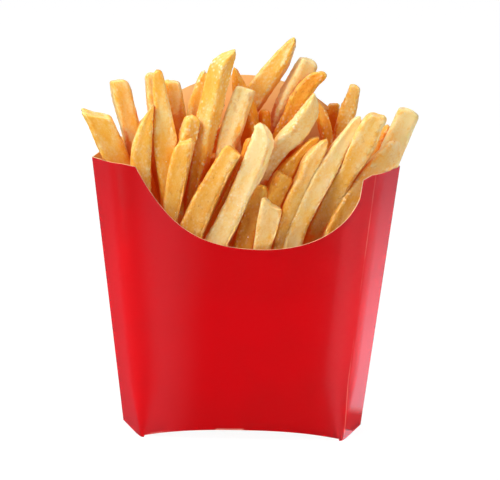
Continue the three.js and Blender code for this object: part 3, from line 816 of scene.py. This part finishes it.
def section_points(width, thickness, sink):
    """A section as points across and through the fry, in mm, going round from its right face."""
    points = np.zeros((len(SECTION), 2))
    r = min(CORNER_ROUND, CORNER_SHARE * width, CORNER_SHARE * thickness)
    for i, (kind, turn, mark, _) in enumerate(SECTION):
        half, across = (width / 2, thickness / 2) if turn % 180 == 0 else (thickness / 2, width / 2)
        if kind == "face":
            a = half - sink * width * (1 - (mark / SINK_WIDTH) ** 2)
            b = mark / SIDE_MARKS[-1] * (across - r) * FACE_SHARE
        else:
            a = half - r + r * math.cos(math.radians(mark))
            b = across - r + r * math.sin(math.radians(mark))
        c, s = round(math.cos(math.radians(turn))), round(math.sin(math.radians(turn)))
        points[i] = (a * c - b * s, a * s + b * c)
    return points


def fry_path(tip, foot, bow):
    """The middle line of a fry, from deep in the carton to a little past its tip, in close steps,
    and how far along it the tip is."""
    tip, foot = np.array(tip, float), np.array(foot, float)
    line = tip - foot
    along = line / np.linalg.norm(line)
    right = np.array([along[2], 0, -along[0]]) / math.hypot(along[0], along[2])
    t = np.linspace(0, 1 + PAST_TIP / np.linalg.norm(line), PATH_POINTS)[:, None]
    upper = foot + line * t + right * 4 * bow * t * (1 - t)
    start = upper[1] - upper[0]
    start /= np.linalg.norm(start)
    length = float(np.clip(foot[2] - HIDDEN_FOOT, HIDDEN_LEAST, HIDDEN_MOST))
    pull = foot - start * length * HIDDEN_BEND
    root = np.array([pull[0], pull[1] * HIDDEN_INWARDS, foot[2] - length])
    s = np.linspace(0, 1, HIDDEN_POINTS)[:-1, None]
    lower = (1 - s) ** 2 * root + 2 * (1 - s) * s * pull + s**2 * foot
    path = np.vstack([lower, upper])
    steps = np.concatenate([[0], np.cumsum(np.linalg.norm(np.diff(path, axis=0), axis=1))])
    return path, steps, float(np.interp(1, t[:, 0], steps[len(lower):]))


def outline(marks, distance):
    """Where an edge of a fry runs, eased between its marks; the ease shrinks towards the tip."""
    below, beside = np.array(marks, float).T
    ease = np.clip((distance - below[0]) * EASE_BY_DEPTH, EASE_LEAST, EASE_MOST)
    return sum(np.interp(distance + k * ease, below, beside) for k in (-1, -0.5, 0, 0.5, 1)) / 5


def fry_shape(fry, number):
    """Vertices, faces and skin values of one fry."""
    path, length, tip_at = fry_path(fry["tip"], fry["foot"], fry.get("bow", 0))
    left, right = fry["left"], fry["right"]
    top = (left[0][0] + right[0][0]) / 2
    slope = left[0][0] - right[0][0]
    lip = np.minimum(front_edge(path[:, 0]), SHOULDER_Z) - HIDDEN_DEPTH
    hidden = length[np.argmax(path[:, 2] > lip)]
    down = [top + d for d in TIP_STEPS]
    while down[-1] < tip_at - hidden:
        down.append(down[-1] + RING_STEP)
    while down[-1] < tip_at - HIDDEN_STEP:
        down.append(down[-1] + HIDDEN_STEP)
    down = np.array(down[::-1])
    at = tip_at - down
    middle = np.stack([np.interp(at, length, path[:, k]) for k in range(3)], 1)
    tangent = np.gradient(path, length, axis=0)
    tangent = np.stack([np.interp(at, length, tangent[:, k]) for k in range(3)], 1)
    tangent /= np.linalg.norm(tangent, axis=1)[:, None]
    fall = np.clip(1 - (down - top) / (END_SLOPE_REACH * abs(slope) + END_SLOPE_LEAST), 0, 1)
    left_edge = outline(left, down + slope * fall / 2)
    right_edge = outline(right, down - slope * fall / 2)
    rng = random.Random(FRY_SEED + number)
    phase = [rng.uniform(0, 6.3) for _ in range(6)]
    width, thick = fry["size"]
    plain = section_points(width, thick, FACE_SINK)
    verts, skin, edge, ends = [], [], [], []
    count = len(SECTION)
    for i, d in enumerate(down):
        t = tangent[i]
        across = np.array([t[2], 0, -t[0]])
        across /= np.linalg.norm(across)
        back = np.cross(t, across)
        twist = math.radians(fry.get("turn", 0) + TWIST * math.sin(at[i] / TWIST_LENGTH + phase[0]))
        c, s = math.cos(twist), math.sin(twist)
        seen = plain[:, 0] * c - plain[:, 1] * s
        through = plain[:, 0] * s + plain[:, 1] * c
        below = d - top
        cut = CUT_ROUND - math.sqrt(max(CUT_ROUND**2 - max(CUT_ROUND - below, 0) ** 2, 0))
        wide = right_edge[i] - left_edge[i]
        cut = min(cut, CUT_SHARE * wide)
        seen_width = seen.max() - seen.min()
        share = wide / seen_width
        swell = 1 + sum(amount * math.sin(at[i] / size + phase[k]) for amount, size, k in SWELLS)
        depth = swell * (DEPTH_LEAST + (1 - DEPTH_LEAST) * min(share, DEPTH_MOST))
        depth *= 1 - 2 * cut / thick
        place = left_edge[i] + cut + (seen - seen.min()) / seen_width * (wide - 2 * cut)
        rel = (seen - seen.min()) / seen_width - 0.5
        dip = fry.get("dip", 0) * (1 - 4 * rel**2) * math.exp(-below / DIP_REACH)
        off = slope * rel * fall[i] - dip
        for j, mark in enumerate(SECTION):
            verts.append(middle[i] + across * place[j] + back * (through[j] * depth) + t * off[j])
            skin.append((plain[j, 0] * share + SKIN_APART * number, plain[j, 1] * depth, at[i]))
            edge.append(max(mark[3], END_EDGE * math.exp(-below / END_EDGE_REACH)))
            ends.append(math.exp(-below / END_REACH))
    faces = []
    for i in range(len(down) - 1):
        faces += ring_faces(i * count, (i + 1) * count, count)
    # the cut end, in rings that close on its middle
    last = (len(down) - 1) * count
    rim = np.array(verts[last:last + count])
    centre = rim.mean(0)
    t = tangent[-1]
    previous = last
    for size in CAP_RINGS:
        start = len(verts)
        for j in range(count):
            verts.append(centre + (rim[j] - centre) * size - t * END_HOLLOW * (1 - size))
            skin.append(tuple(np.array(skin[last + j]) + (0, 0, END_SKIN * (1 - size))))
            edge.append(FACE_RIM * size)
            ends.append(1.0)
        faces += ring_faces(previous, start, count)
        previous = start
    verts.append(centre - t * END_HOLLOW)
    skin.append((SKIN_APART * number, 0, at[-1] + END_SKIN))
    edge.append(0.1)
    ends.append(1.0)
    faces += [(previous + j, previous + (j + 1) % count, len(verts) - 1) for j in range(count)]
    faces.append(tuple(range(count))[::-1])
    looks = {"skin": skin, "edge": edge, "ends": ends}
    # how far down a place lies, for the painted shade lower down
    low = np.clip((DEEPER_BELOW - np.array(verts)[:, 2]) / DEEPER_REACH, 0, 1)
    looks["low"] = low * min(1, DEEPER_LEAST + DEEPER_BY_TONE * fry["tone"])
    for key, usual, deeper in LOOKS:
        looks[key] = fry.get(key, usual) + deeper * low
    return np.array(verts), faces, looks


BOARD_CLEAR, BOARD_LEAST, ABOVE_BOARD = 1.0, 0.3, 0.5


def keep_inside(verts):
    """Presses whatever would pass through the board back against its inner face."""
    x, y, z = verts.T
    limit = np.maximum(wall_limit(x, z) - BOARD_CLEAR, BOARD_LEAST)
    front = (z < front_edge(x) + ABOVE_BOARD) & (y < -limit)
    back = (z < back_edge(x) + ABOVE_BOARD) & (y > limit)
    verts[:, 1] = np.where(front, -limit, np.where(back, limit, y))
    return verts


def surface_group(name, settings):
    """A Geometry Nodes tree: a geometry, its own settings and a material come in."""
    return new_group(name, [("Geometry", "Geometry", None), *settings, ("Material", "Material", None)],
                     [("Geometry", "Geometry")], "GeometryNodeTree")


def named(tree, name, kind="FLOAT"):
    return add_node(tree, "GeometryNodeInputNamedAttribute", {"Name": name},
                    data_type=kind).outputs["Attribute"]


def input_node(tree, kind):
    return tree.nodes.new("GeometryNodeInput" + kind).outputs[0]


def raised(tree, geometry, height):
    """The geometry with its points moved out along their normals."""
    move = vectors(tree, "SCALE", input_node(tree, "Normal"), height)
    return add_node(tree, "GeometryNodeSetPosition", {"Geometry": geometry, "Offset": move}).outputs[0]


def finish_group(tree, geometry, given, out):
    """Ends a tree with real geometry that has its material."""
    real = add_node(tree, "GeometryNodeRealizeInstances", {"Geometry": geometry}).outputs[0]
    done = add_node(tree, "GeometryNodeSetMaterial", {"Geometry": real, "Material": given["Material"]})
    tree.links.new(done.outputs[0], out[0])
    return tree


def crust_relief_tree():
    """Geometry nodes that raise the uneven crust on a fry: slow lumps, a crinkled surface, blisters
    along its edges and small chips."""
    tree, given, out = surface_group("crust relief", [
        ("Lump Height", "Float", 0.0006), ("Crinkle Height", "Float", 0.0004),
        ("Blister Height", "Float", 0.0003), ("Chip Depth", "Float", 0.00035)])
    skin = named(tree, "skin", "FLOAT_VECTOR")
    edge, crust, ends = (named(tree, label) for label in ("edge", "crust", "ends"))

    def noise(scale, along, detail):
        return sums(tree, "SUBTRACT", skin_noise(tree, skin, scale, along, detail), 0.5)

    lumps = sums(tree, "MULTIPLY", noise(0.3, 0.14, 2.0), given["Lump Height"])
    amount = sums(tree, "MULTIPLY", sums(tree, "ADD", edge, 0.35), crust)
    amount = sums(tree, "ADD", amount, sums(tree, "MULTIPLY", ends, 0.7))
    fine = sums(tree, "MULTIPLY", noise(0.95, 0.7, 3.0), given["Crinkle Height"])
    fine = sums(tree, "MULTIPLY", fine, amount)
    chips = ramp_between(tree, noise(0.5, 0.42, 2.0), 0.12, 0.26)
    chip = sums(tree, "MULTIPLY", sums(tree, "MULTIPLY", chips, given["Chip Depth"]),
                sums(tree, "MULTIPLY", edge, crust))
    blisters = sums(tree, "MULTIPLY", blister_mask(tree, skin, edge, crust), given["Blister Height"])
    height = sums(tree, "SUBTRACT", sums(tree, "ADD", lumps, fine), chip)
    height = sums(tree, "ADD", height, blisters)
    return finish_group(tree, raised(tree, given["Geometry"], height), given, out)


crust_relief = crust_relief_tree()


def with_nodes(thing, tree, material):
    """The object with a Geometry Nodes tree run on it, as a plain new one of the same name."""
    modifier = thing.modifiers.new(tree.name, "NODES")
    modifier.node_group = tree
    for item in tree.interface.items_tree:
        if item.item_type == "SOCKET" and item.in_out == "INPUT" and item.name == "Material":
            modifier[item.identifier] = material
    return plain_copy(thing, thing.name)


def fry_bundle(name, rows, first):
    """One piece: several fries in one mesh, with their crust raised by geometry nodes."""
    parts = [fry_shape(row, first + k) for k, row in enumerate(rows)]
    verts, faces = [], []
    for points, sides, _ in parts:
        start = sum(len(v) for v in verts)
        verts.append(points)
        faces += [tuple(start + i for i in side) for side in sides]
    mesh = bpy.data.meshes.new(name)
    mesh.from_pydata(in_metres(keep_inside(np.vstack(verts))), [], faces)
    for label in ("skin", "edge", "ends", "tone", "browned", "crust", "low"):
        give(mesh, label, np.concatenate([np.array(looks[label], float) for _, _, looks in parts]),
             "FLOAT_VECTOR" if label == "skin" else "FLOAT")
    made = with_nodes(new_object(name, mesh), crust_relief, fries_skin)
    smooth_below(made.data, 70)
    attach(made, "root")
    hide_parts("fries")
    return made


bundles = []
number = 0
for name, rows in BUNDLES.items():
    bundles.append(fry_bundle(name, rows, number))
    number += len(rows)


# ---------------------------------------------------------------------------------------------
# Packed fries
# The fries that stand between and behind the ones that show. They fill the carton, and their
# ends come up in the gaps, lower at the front than at the back.
# ---------------------------------------------------------------------------------------------
PACK_ROWS = [(-14, 70), (-8, 82), (-1.5, 92), (5, 98), (11, 102), (16, 104)]  # y and tip height
PACK_SIDE, PACK_STEP, PACK_FOOT, PACK_SPREAD = 38.0, 7.4, 34.0, 1.27
PACK_CLEAR_OF_SHOWN, PACK_CLEAR, PACK_CLEAR_OF_SIDE, PACK_CLEAR_OF_BOARD = 5.2, 5.4, 8, 4
PACK_FRONT_Y, PACK_BELOW_FRONT = -10, 3  # rows before this y end so far below the front's edge
PACK_FOOT_INWARDS, PACK_HIGHER_BY_LEAN = 0.92, 0.13
PACK_SEED, PACK_TRIES = 11, 14


def line_gap(a, b):
    """The least distance between two straight lines, each given by its two ends."""
    t = np.linspace(0, 1, 24)[:, None]
    pa = np.array(a[0]) + (np.array(a[1]) - np.array(a[0])) * t
    pb = np.array(b[0]) + (np.array(b[1]) - np.array(b[0])) * t
    return np.sqrt(((pa[:, None] - pb[None]) ** 2).sum(-1)).min()


def packed_rows():
    rng = random.Random(PACK_SEED)
    shown = [(row["tip"], row["foot"]) for rows in BUNDLES.values() for row in rows]
    kept = []
    for y, height in PACK_ROWS:
        x = -PACK_SIDE
        while x < PACK_SIDE:
            for _ in range(PACK_TRIES):
                foot = (x + rng.uniform(-2, 2), y * PACK_FOOT_INWARDS + rng.uniform(-1, 1),
                        PACK_FOOT + rng.uniform(-4, 6))
                lean = foot[0] * PACK_SPREAD + rng.uniform(-7, 7)
                up = height + rng.uniform(-7, 3) + PACK_HIGHER_BY_LEAN * abs(lean)
                deep = y + rng.uniform(-2, 2)
                if y < PACK_FRONT_Y:
                    up = min(up, float(front_edge(lean)) - PACK_BELOW_FRONT)
                limit = float(wall_limit(lean, min(up, SHOULDER_Z - 1))[0]) - PACK_CLEAR_OF_BOARD
                tip = (lean, max(-limit, min(limit, deep)), up)
                if abs(lean) > side_x(min(up, SHOULDER_Z)) - PACK_CLEAR_OF_SIDE:
                    continue
                if all(line_gap((tip, foot), other) > PACK_CLEAR_OF_SHOWN for other in shown) and \
                        all(line_gap((tip, foot), other[:2]) > PACK_CLEAR for other in kept):
                    width, turn, tone = rng.uniform(5.6, 8.2), rng.uniform(0, 1.5), rng.uniform(0.45, 0.95)
                    kept.append((tip, foot, width, turn, tone))
                    break
            x += PACK_STEP
    return kept


def packed_tree():
    """Geometry nodes that follow each line with the rounded square section of a fry."""
    tree, given, out = surface_group("packed fries", [
        ("Section Spacing", "Float", 0.0012), ("Corner", "Float", 0.14), ("Lump Height", "Float", 0.0006)])

    def store(geometry, name, value, kind="FLOAT"):
        return add_node(tree, "GeometryNodeStoreNamedAttribute", {
            "Geometry": geometry, "Name": name, "Value": value}, data_type=kind, domain="POINT").outputs[0]

    def in_mm(value):
        return sums(tree, "MULTIPLY", value, 1000.0)

    line = add_node(tree, "GeometryNodeMeshToCurve", {"Mesh": given["Geometry"]}).outputs[0]
    line = add_node(tree, "GeometryNodeResampleCurve", {
        "Curve": line, "Length": given["Section Spacing"]}, mode="LENGTH").outputs[0]
    line = add_node(tree, "GeometryNodeSetCurveTilt", {
        "Curve": line, "Tilt": named(tree, "turn")}).outputs[0]
    along = add_node(tree, "GeometryNodeSplineParameter").outputs["Length"]
    whole = add_node(tree, "GeometryNodeSplineLength").outputs["Length"]
    left = sums(tree, "SUBTRACT", whole, along)
    line = store(store(line, "along", along), "left", left)
    square = add_node(tree, "GeometryNodeCurvePrimitiveQuadrilateral", {
        "Width": 1.0, "Height": 1.0}).outputs[0]
    square = add_node(tree, "GeometryNodeFilletCurve", {
        "Curve": square, "Count": 2, "Radius": given["Corner"]}, mode="POLY").outputs[0]
    square = add_node(tree, "GeometryNodeSubdivideCurve", {"Curve": square, "Cuts": 1}).outputs[0]
    split = add_node(tree, "ShaderNodeSeparateXYZ", {0: input_node(tree, "Position")}).outputs
    corner = sums(tree, "ADD", sums(tree, "ABSOLUTE", split[0]), sums(tree, "ABSOLUTE", split[1]))
    square = store(square, "edge", ramp_between(tree, corner, 0.68, 0.86))
    square = store(store(square, "across", split[0]), "through", split[1])
    round_end = ramp_between(tree, named(tree, "left"), 0.0, 0.0012, 0.82, 1.0)
    swept = add_node(tree, "GeometryNodeCurveToMesh", {
        "Curve": line, "Profile Curve": square, "Fill Caps": True,
        "Scale": sums(tree, "MULTIPLY", named(tree, "width"), round_end)}).outputs[0]
    wide, deep = (sums(tree, "MULTIPLY", named(tree, label), in_mm(named(tree, "width")))
                  for label in ("across", "through"))
    spread = sums(tree, "MULTIPLY", named(tree, "tone"), 4000.0)
    skin = add_node(tree, "ShaderNodeCombineXYZ", {
        0: sums(tree, "ADD", wide, spread), 1: deep, 2: in_mm(named(tree, "along"))}).outputs[0]
    swept = store(swept, "skin", skin, "FLOAT_VECTOR")
    lumps = skin_noise(tree, named(tree, "skin", "FLOAT_VECTOR"), 0.45, 0.22)
    lumps = sums(tree, "MULTIPLY", sums(tree, "SUBTRACT", lumps, 0.5), given["Lump Height"])
    return finish_group(tree, raised(tree, swept, lumps), given, out)


LINE_POINTS, PACK_BROWNED, PACK_CRUST = 4, 0.3, 0.3
line_verts, line_edges = [], []
line_looks = {"width": [], "turn": [], "tone": [], "browned": [], "crust": []}
for tip, foot, width, turn, tone in packed_rows():
    start = len(line_verts)
    for k in range(LINE_POINTS):
        line_verts.append(np.array(foot) + (np.array(tip) - np.array(foot)) * k / (LINE_POINTS - 1))
        if k:
            line_edges.append((start + k - 1, start + k))
    for label, value in zip(line_looks, (width * MM, turn, tone, PACK_BROWNED, PACK_CRUST)):
        line_looks[label] += [value] * LINE_POINTS
packed_mesh = bpy.data.meshes.new("fries_packed")
packed_mesh.from_pydata(in_metres(line_verts), line_edges, [])
for label, values in line_looks.items():
    give(packed_mesh, label, values)
packed = with_nodes(new_object("fries_packed", packed_mesh), packed_tree(), fries_skin)
packed_points = np.zeros(len(packed.data.vertices) * 3)
packed.data.vertices.foreach_get("co", packed_points)
packed_points = keep_inside(packed_points.reshape(-1, 3) / MM - (CARTON_X, 0, 0))
packed.data.vertices.foreach_set("co", np.array(in_metres(packed_points)).reshape(-1))
merge_and_turn_out(packed.data)
smooth_below(packed.data, 60)
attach(packed, "root")
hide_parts("fries")


# ---------------------------------------------------------------------------------------------
# Gaps between the fries
# Little light gets in between the fries. Each place of a fry keeps how much of the open air above its
# skin is shut off, and there the material paints a deep orange shade and a faint orange glow, standing
# for the light that came through the potato.
# ---------------------------------------------------------------------------------------------
SHUT_RAYS, SHUT_REACH, SHUT_CLEAR = 24, 0.03, 0.00025
GOLDEN_TURN = 2.39996  # the angle that spreads the rays evenly


def shut_tree():
    """Geometry nodes that send rays from each point and keep the share of them that meets something."""
    tree, given, out = surface_group("shut in", [
        ("Reach", "Float", SHUT_REACH), ("Clear", "Float", SHUT_CLEAR)])
    normal = input_node(tree, "Normal")
    lifted = vectors(tree, "SCALE", normal, given["Clear"])
    start = vectors(tree, "ADD", input_node(tree, "Position"), lifted)
    met, sent = 0.0, 0.0
    for k in range(SHUT_RAYS):
        z = 1 - (2 * k + 1) / SHUT_RAYS
        turn, flat = k * GOLDEN_TURN, math.sqrt(1 - z * z)
        aim = (flat * math.cos(turn), flat * math.sin(turn), z)
        facing = sums(tree, "MAXIMUM", vectors(tree, "DOT_PRODUCT", normal, aim), 0.0)
        ray = add_node(tree, "GeometryNodeRaycast", {
            "Target Geometry": given["Geometry"], "Source Position": start, "Ray Direction": aim,
            "Ray Length": given["Reach"]}).outputs["Is Hit"]
        met = sums(tree, "ADD", met, sums(tree, "MULTIPLY", facing, ray))
        sent = sums(tree, "ADD", sent, facing)
    kept = add_node(tree, "GeometryNodeStoreNamedAttribute", {
        "Geometry": given["Geometry"], "Name": "shut", "Value": sums(tree, "DIVIDE", met, sent)},
        data_type="FLOAT", domain="POINT").outputs[0]
    return finish_group(tree, kept, given, out)


def joined(name, things):
    """One new object with the meshes of several."""
    work = bmesh.new()
    for thing in things:
        work.from_mesh(thing.data)
    mesh = bpy.data.meshes.new(name)
    work.to_mesh(mesh)
    work.free()
    return new_object(name, mesh)


shut_pieces = bundles + [packed, core]
every_piece = with_nodes(joined("every piece", shut_pieces + [carton]), shut_tree(), fries_skin)
shut = np.zeros(len(every_piece.data.vertices), np.float32)
every_piece.data.attributes["shut"].data.foreach_get("value", shut)
bpy.data.objects.remove(every_piece)
first = 0
for made in shut_pieces:
    count = len(made.data.vertices)
    give(made.data, "shut", shut[first:first + count])
    first += count


# ---------------------------------------------------------------------------------------------
# Salt
# Fine table salt, shaken over the hot fries: small cubes with worn corners that cling to the crust.
# ---------------------------------------------------------------------------------------------
SALT_SIZE, SALT_PER_SQUARE_METRE, SALT_LOWEST, SALT_SEED = 0.00028, 3000.0, 0.075, 4
SALT_TURN_SEED, SALT_SIZE_SEED, SALT_LEAST = 3, 8, 0.45


def salt_tree():
    tree, given, out = surface_group("salt", [
        ("Grain Size", "Float", SALT_SIZE), ("Grains Per Area", "Float", SALT_PER_SQUARE_METRE),
        ("Lowest", "Float", SALT_LOWEST), ("Seed", "Int", SALT_SEED)])

    def by_chance(low, high, seed):
        return add_node(tree, "FunctionNodeRandomValue", {
            "Min": (low, low, low), "Max": (high, high, high), "Seed": seed},
            data_type="FLOAT_VECTOR").outputs[0]

    height = add_node(tree, "ShaderNodeSeparateXYZ", {0: input_node(tree, "Position")}).outputs[2]
    above = add_node(tree, "FunctionNodeCompare", {0: height, 1: given["Lowest"]}, operation="GREATER_THAN")
    spots = add_node(tree, "GeometryNodeDistributePointsOnFaces", {
        "Mesh": given["Geometry"], "Selection": above.outputs[0], "Density": given["Grains Per Area"],
        "Seed": given["Seed"]})
    grain = add_node(tree, "GeometryNodeMeshIcoSphere", {"Radius": given["Grain Size"], "Subdivisions": 1})
    grains = add_node(tree, "GeometryNodeInstanceOnPoints", {
        "Points": spots.outputs["Points"], "Instance": grain.outputs[0],
        "Rotation": by_chance(0.0, 6.3, SALT_TURN_SEED),
        "Scale": by_chance(SALT_LEAST, 1.0, SALT_SIZE_SEED)})
    return finish_group(tree, grains.outputs[0], given, out)


salt_look, salt_nodes, salt_shader = new_material("salt")
salt_place = add_node(salt_nodes, "ShaderNodeTexCoord").outputs["Object"]
salt_cloud = add_node(salt_nodes, "ShaderNodeTexNoise", {
    "Vector": salt_place, "Scale": 2500.0}).outputs["Fac"]
salt_nodes.links.new(blended(salt_nodes, salt_cloud, shade(255, 250, 236), shade(244, 232, 205)),
                     salt_shader.inputs["Base Color"])
salt_nodes.links.new(ramp_between(salt_nodes, salt_cloud, 0.3, 0.7, 0.15, 0.35),
                     salt_shader.inputs["Roughness"])
salt_shader.inputs["Subsurface Weight"].default_value = 0.3
salt_shader.inputs["Subsurface Scale"].default_value = 0.0005
salt = with_nodes(joined("salt", bundles), salt_tree(), salt_look)
smooth_below(salt.data, 20)
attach(salt, "root")
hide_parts("fries")


# ---------------------------------------------------------------------------------------------
# Studio
# A plain white floor, a soft lamp close by on the upper left, one above and behind, weaker ones in
# front and on the right, and two small ones low at the sides, which light only the carton's sides.
# The camera stands in front, a little above the carton.
# ---------------------------------------------------------------------------------------------
FLOOR_SHADE, FLOOR_SEEN, FLOOR_GLOW = 0.55, 0.12, 0.95  # how light it is; what the camera sees of it
bpy.ops.mesh.primitive_plane_add(size=6, location=(0, 0, 0))
floor = bpy.context.object
floor.name = "floor"
floor_look, floor_nodes, floor_shader = new_material("white floor")
floor_shader.inputs["Roughness"].default_value = 0.9
floor_shader.inputs["Specular IOR Level"].default_value = 0.1
floor_shader.inputs["Emission Color"].default_value = (1, 1, 1, 1)
floor_sight = add_node(floor_nodes, "ShaderNodeLightPath").outputs["Is Camera Ray"]
floor_nodes.links.new(sums(floor_nodes, "MULTIPLY", floor_sight, FLOOR_GLOW),
                      floor_shader.inputs["Emission Strength"])
floor_nodes.links.new(blended(floor_nodes, floor_sight, (FLOOR_SHADE, FLOOR_SHADE, FLOOR_SHADE, 1),
                              (FLOOR_SEEN, FLOOR_SEEN, FLOOR_SEEN, 1)), floor_shader.inputs["Base Color"])
floor.data.materials.append(floor_look)
floor.visible_glossy = False

SKY_LIGHT, SKY_SEEN, GLOSS_COLOUR = 0.2, 1.05, (1, 0.94, 1.12, 1)
# What the gloss meets, by direction: nothing straight in front, a little light on the left, and
# more towards the right, where behind the carton it grows downwards.
LEFT_GLOW = (0.08, 0.3, 0.65, 0.2)  # from and to this far left, how bright in front and behind
RIGHT_GLOW = (0.18, 0.62, 1.0)  # from and to this far right, how bright in front
GRAZING = {-1: (0.4, 0.75, 0.2), 1: (0.66, 0.95, 0.6)}  # how far aside the glow in front dims, to what
BEHIND_GLOW = (-0.24, -0.33, 0.5, 1.4)  # from and to this far down, how bright behind on the right
UPWARD_GLOW = (0.1, 0.6, 0.0, 0.8)
world = bpy.data.worlds.new("studio")
bpy.context.scene.world = world
world.use_nodes = True
sky = world.node_tree
background = sky.nodes["Background"]
path = add_node(sky, "ShaderNodeLightPath").outputs
direction = add_node(sky, "ShaderNodeTexCoord").outputs["Generated"]
toward = add_node(sky, "ShaderNodeSeparateXYZ", {0: direction}).outputs
in_front = ramp_between(sky, toward[1], 0.1, -0.1)


def mixed(share, a, b):
    return add_node(sky, "ShaderNodeMix", {0: share, 2: a, 3: b}).outputs[0]


def glow_on(side, start, end, bright, behind):
    """The light on one side: dimmed further aside in front of the carton, another behind it."""
    aside = sums(sky, "MULTIPLY", toward[0], side)
    dims_from, dims_to, least = GRAZING[side]
    grazing = sums(sky, "MULTIPLY", ramp_between(sky, aside, dims_from, dims_to, 1.0, least), bright)
    return sums(sky, "MULTIPLY", ramp_between(sky, aside, start, end), mixed(in_front, behind, grazing))


left_part = glow_on(-1, *LEFT_GLOW)
right_part = glow_on(1, *RIGHT_GLOW, ramp_between(sky, toward[2], *BEHIND_GLOW))
gloss = sums(sky, "ADD", sums(sky, "ADD", left_part, right_part), ramp_between(sky, toward[2], *UPWARD_GLOW))
lit = mixed(path["Is Glossy Ray"], SKY_LIGHT, gloss)
sky.links.new(mixed(path["Is Camera Ray"], lit, SKY_SEEN), background.inputs["Strength"])
sky.links.new(blended(sky, path["Is Glossy Ray"], (1, 1, 1, 1), GLOSS_COLOUR), background.inputs["Color"])

# each lamp's name, place, what it shines at, size, power, colour, spread in degrees, and whether the
# gloss meets it
LAMPS = [
    ("lamp_left", (-0.34, -0.2, 0.42), (0, 0, 0.09), (0.3, 0.3), 2.4, (1, 0.98, 0.94), 180, True),
    ("lamp_above", (-0.2, 0.25, 0.85), (0, 0, 0.1), (0.6, 0.6), 3.6, (1, 0.99, 0.96), 180, True),
    ("lamp_front", (0.25, -0.9, 0.75), (0, 0, 0.06), (0.5, 0.4), 1.45, (1, 0.99, 0.97), 180, False),
    ("lamp_right", (0.6, -0.35, 0.45), (0, 0, 0.06), (0.5, 0.4), 1.1, (1, 0.99, 0.97), 180, False),
    ("lamp_side", (-0.42, -0.13, 0.02), (-0.05, -0.01, 0.03), (0.08, 0.08), 0.03, (1, 1, 1), 24, False),
    ("lamp_side", (0.42, -0.13, 0.02), (0.05, -0.01, 0.03), (0.08, 0.08), 0.05, (1, 1, 1), 24, False),
]
for name, place, target, size, power, colour, spread, in_gloss in LAMPS:
    light = bpy.data.lights.new(name, "AREA")
    light.shape = "RECTANGLE"
    light.size, light.size_y = size
    light.energy = power
    light.color = colour
    light.spread = math.radians(spread)
    lamp = new_object(name, light)
    lamp.location = place
    lamp.rotation_euler = (Vector(target) - Vector(place)).to_track_quat("-Z", "Y").to_euler()
    lamp.visible_glossy = in_gloss

# A black card that lies on the floor by the carton's right foot and glows, met only by the gloss of
# the lowest part of the carton's right side: dimly close to the foot, a painted shadow of the floor
# there, and brighter further out, a painted reflection of the lit floor.
CARD_START = Vector((0.06, 0.006, 0.0004))
CARD_AWAY, CARD_ACROSS = Vector((0.74, 0.67, 0)), Vector((-0.67, 0.74, 0))
CARD_ROWS = [(-0.022, 0.08), (-0.004, 0.08), (0.004, 1.2)]  # how far from its start, how bright
CARD_HALF = 0.05
card_mesh = bpy.data.meshes.new("card")
corners = [CARD_START + CARD_AWAY * away + CARD_ACROSS * across
           for away, _ in CARD_ROWS for across in (-CARD_HALF, CARD_HALF)]
card_mesh.from_pydata(corners, [], [(0, 1, 3, 2), (2, 3, 5, 4)])
give(card_mesh, "glow", [bright for _, bright in CARD_ROWS for _ in range(2)])
card = new_object("card", card_mesh)
card_look, card_nodes, card_shader = new_material("card")
card_shader.inputs["Base Color"].default_value = (0, 0, 0, 1)
card_shader.inputs["Emission Color"].default_value = (1, 0.94, 1.0, 1)
card_nodes.links.new(add_node(card_nodes, "ShaderNodeAttribute", attribute_name="glow").outputs["Fac"],
                     card_shader.inputs["Emission Strength"])
card_mesh.materials.append(card_look)
card.visible_camera = False
card.visible_diffuse = False
card.visible_shadow = False
card.visible_transmission = False

TILT, ROLL, DISTANCE, LENS, SENSOR = math.radians(12.0), math.radians(1.15), 0.8, 156.777, 36.0
AIM = Vector(((1.651 + CARTON_X) * MM, 0, 71.007 * MM))
forward = Vector((0, math.cos(TILT), -math.sin(TILT)))
level, rise = Vector((1, 0, 0)), Vector((0, math.sin(TILT), math.cos(TILT)))
right = level * math.cos(ROLL) + rise * math.sin(ROLL)
up = rise * math.cos(ROLL) - level * math.sin(ROLL)
camera = new_object("camera", bpy.data.cameras.new("camera"))
camera.data.lens = LENS
camera.data.sensor_width = SENSOR
camera.data.sensor_fit = "HORIZONTAL"
facing = Matrix((right, up, -forward)).transposed().to_4x4()
camera.matrix_world = Matrix.Translation(AIM - forward * DISTANCE) @ facing
bpy.context.scene.camera = camera
bpy.context.scene.view_settings.view_transform = "Standard"
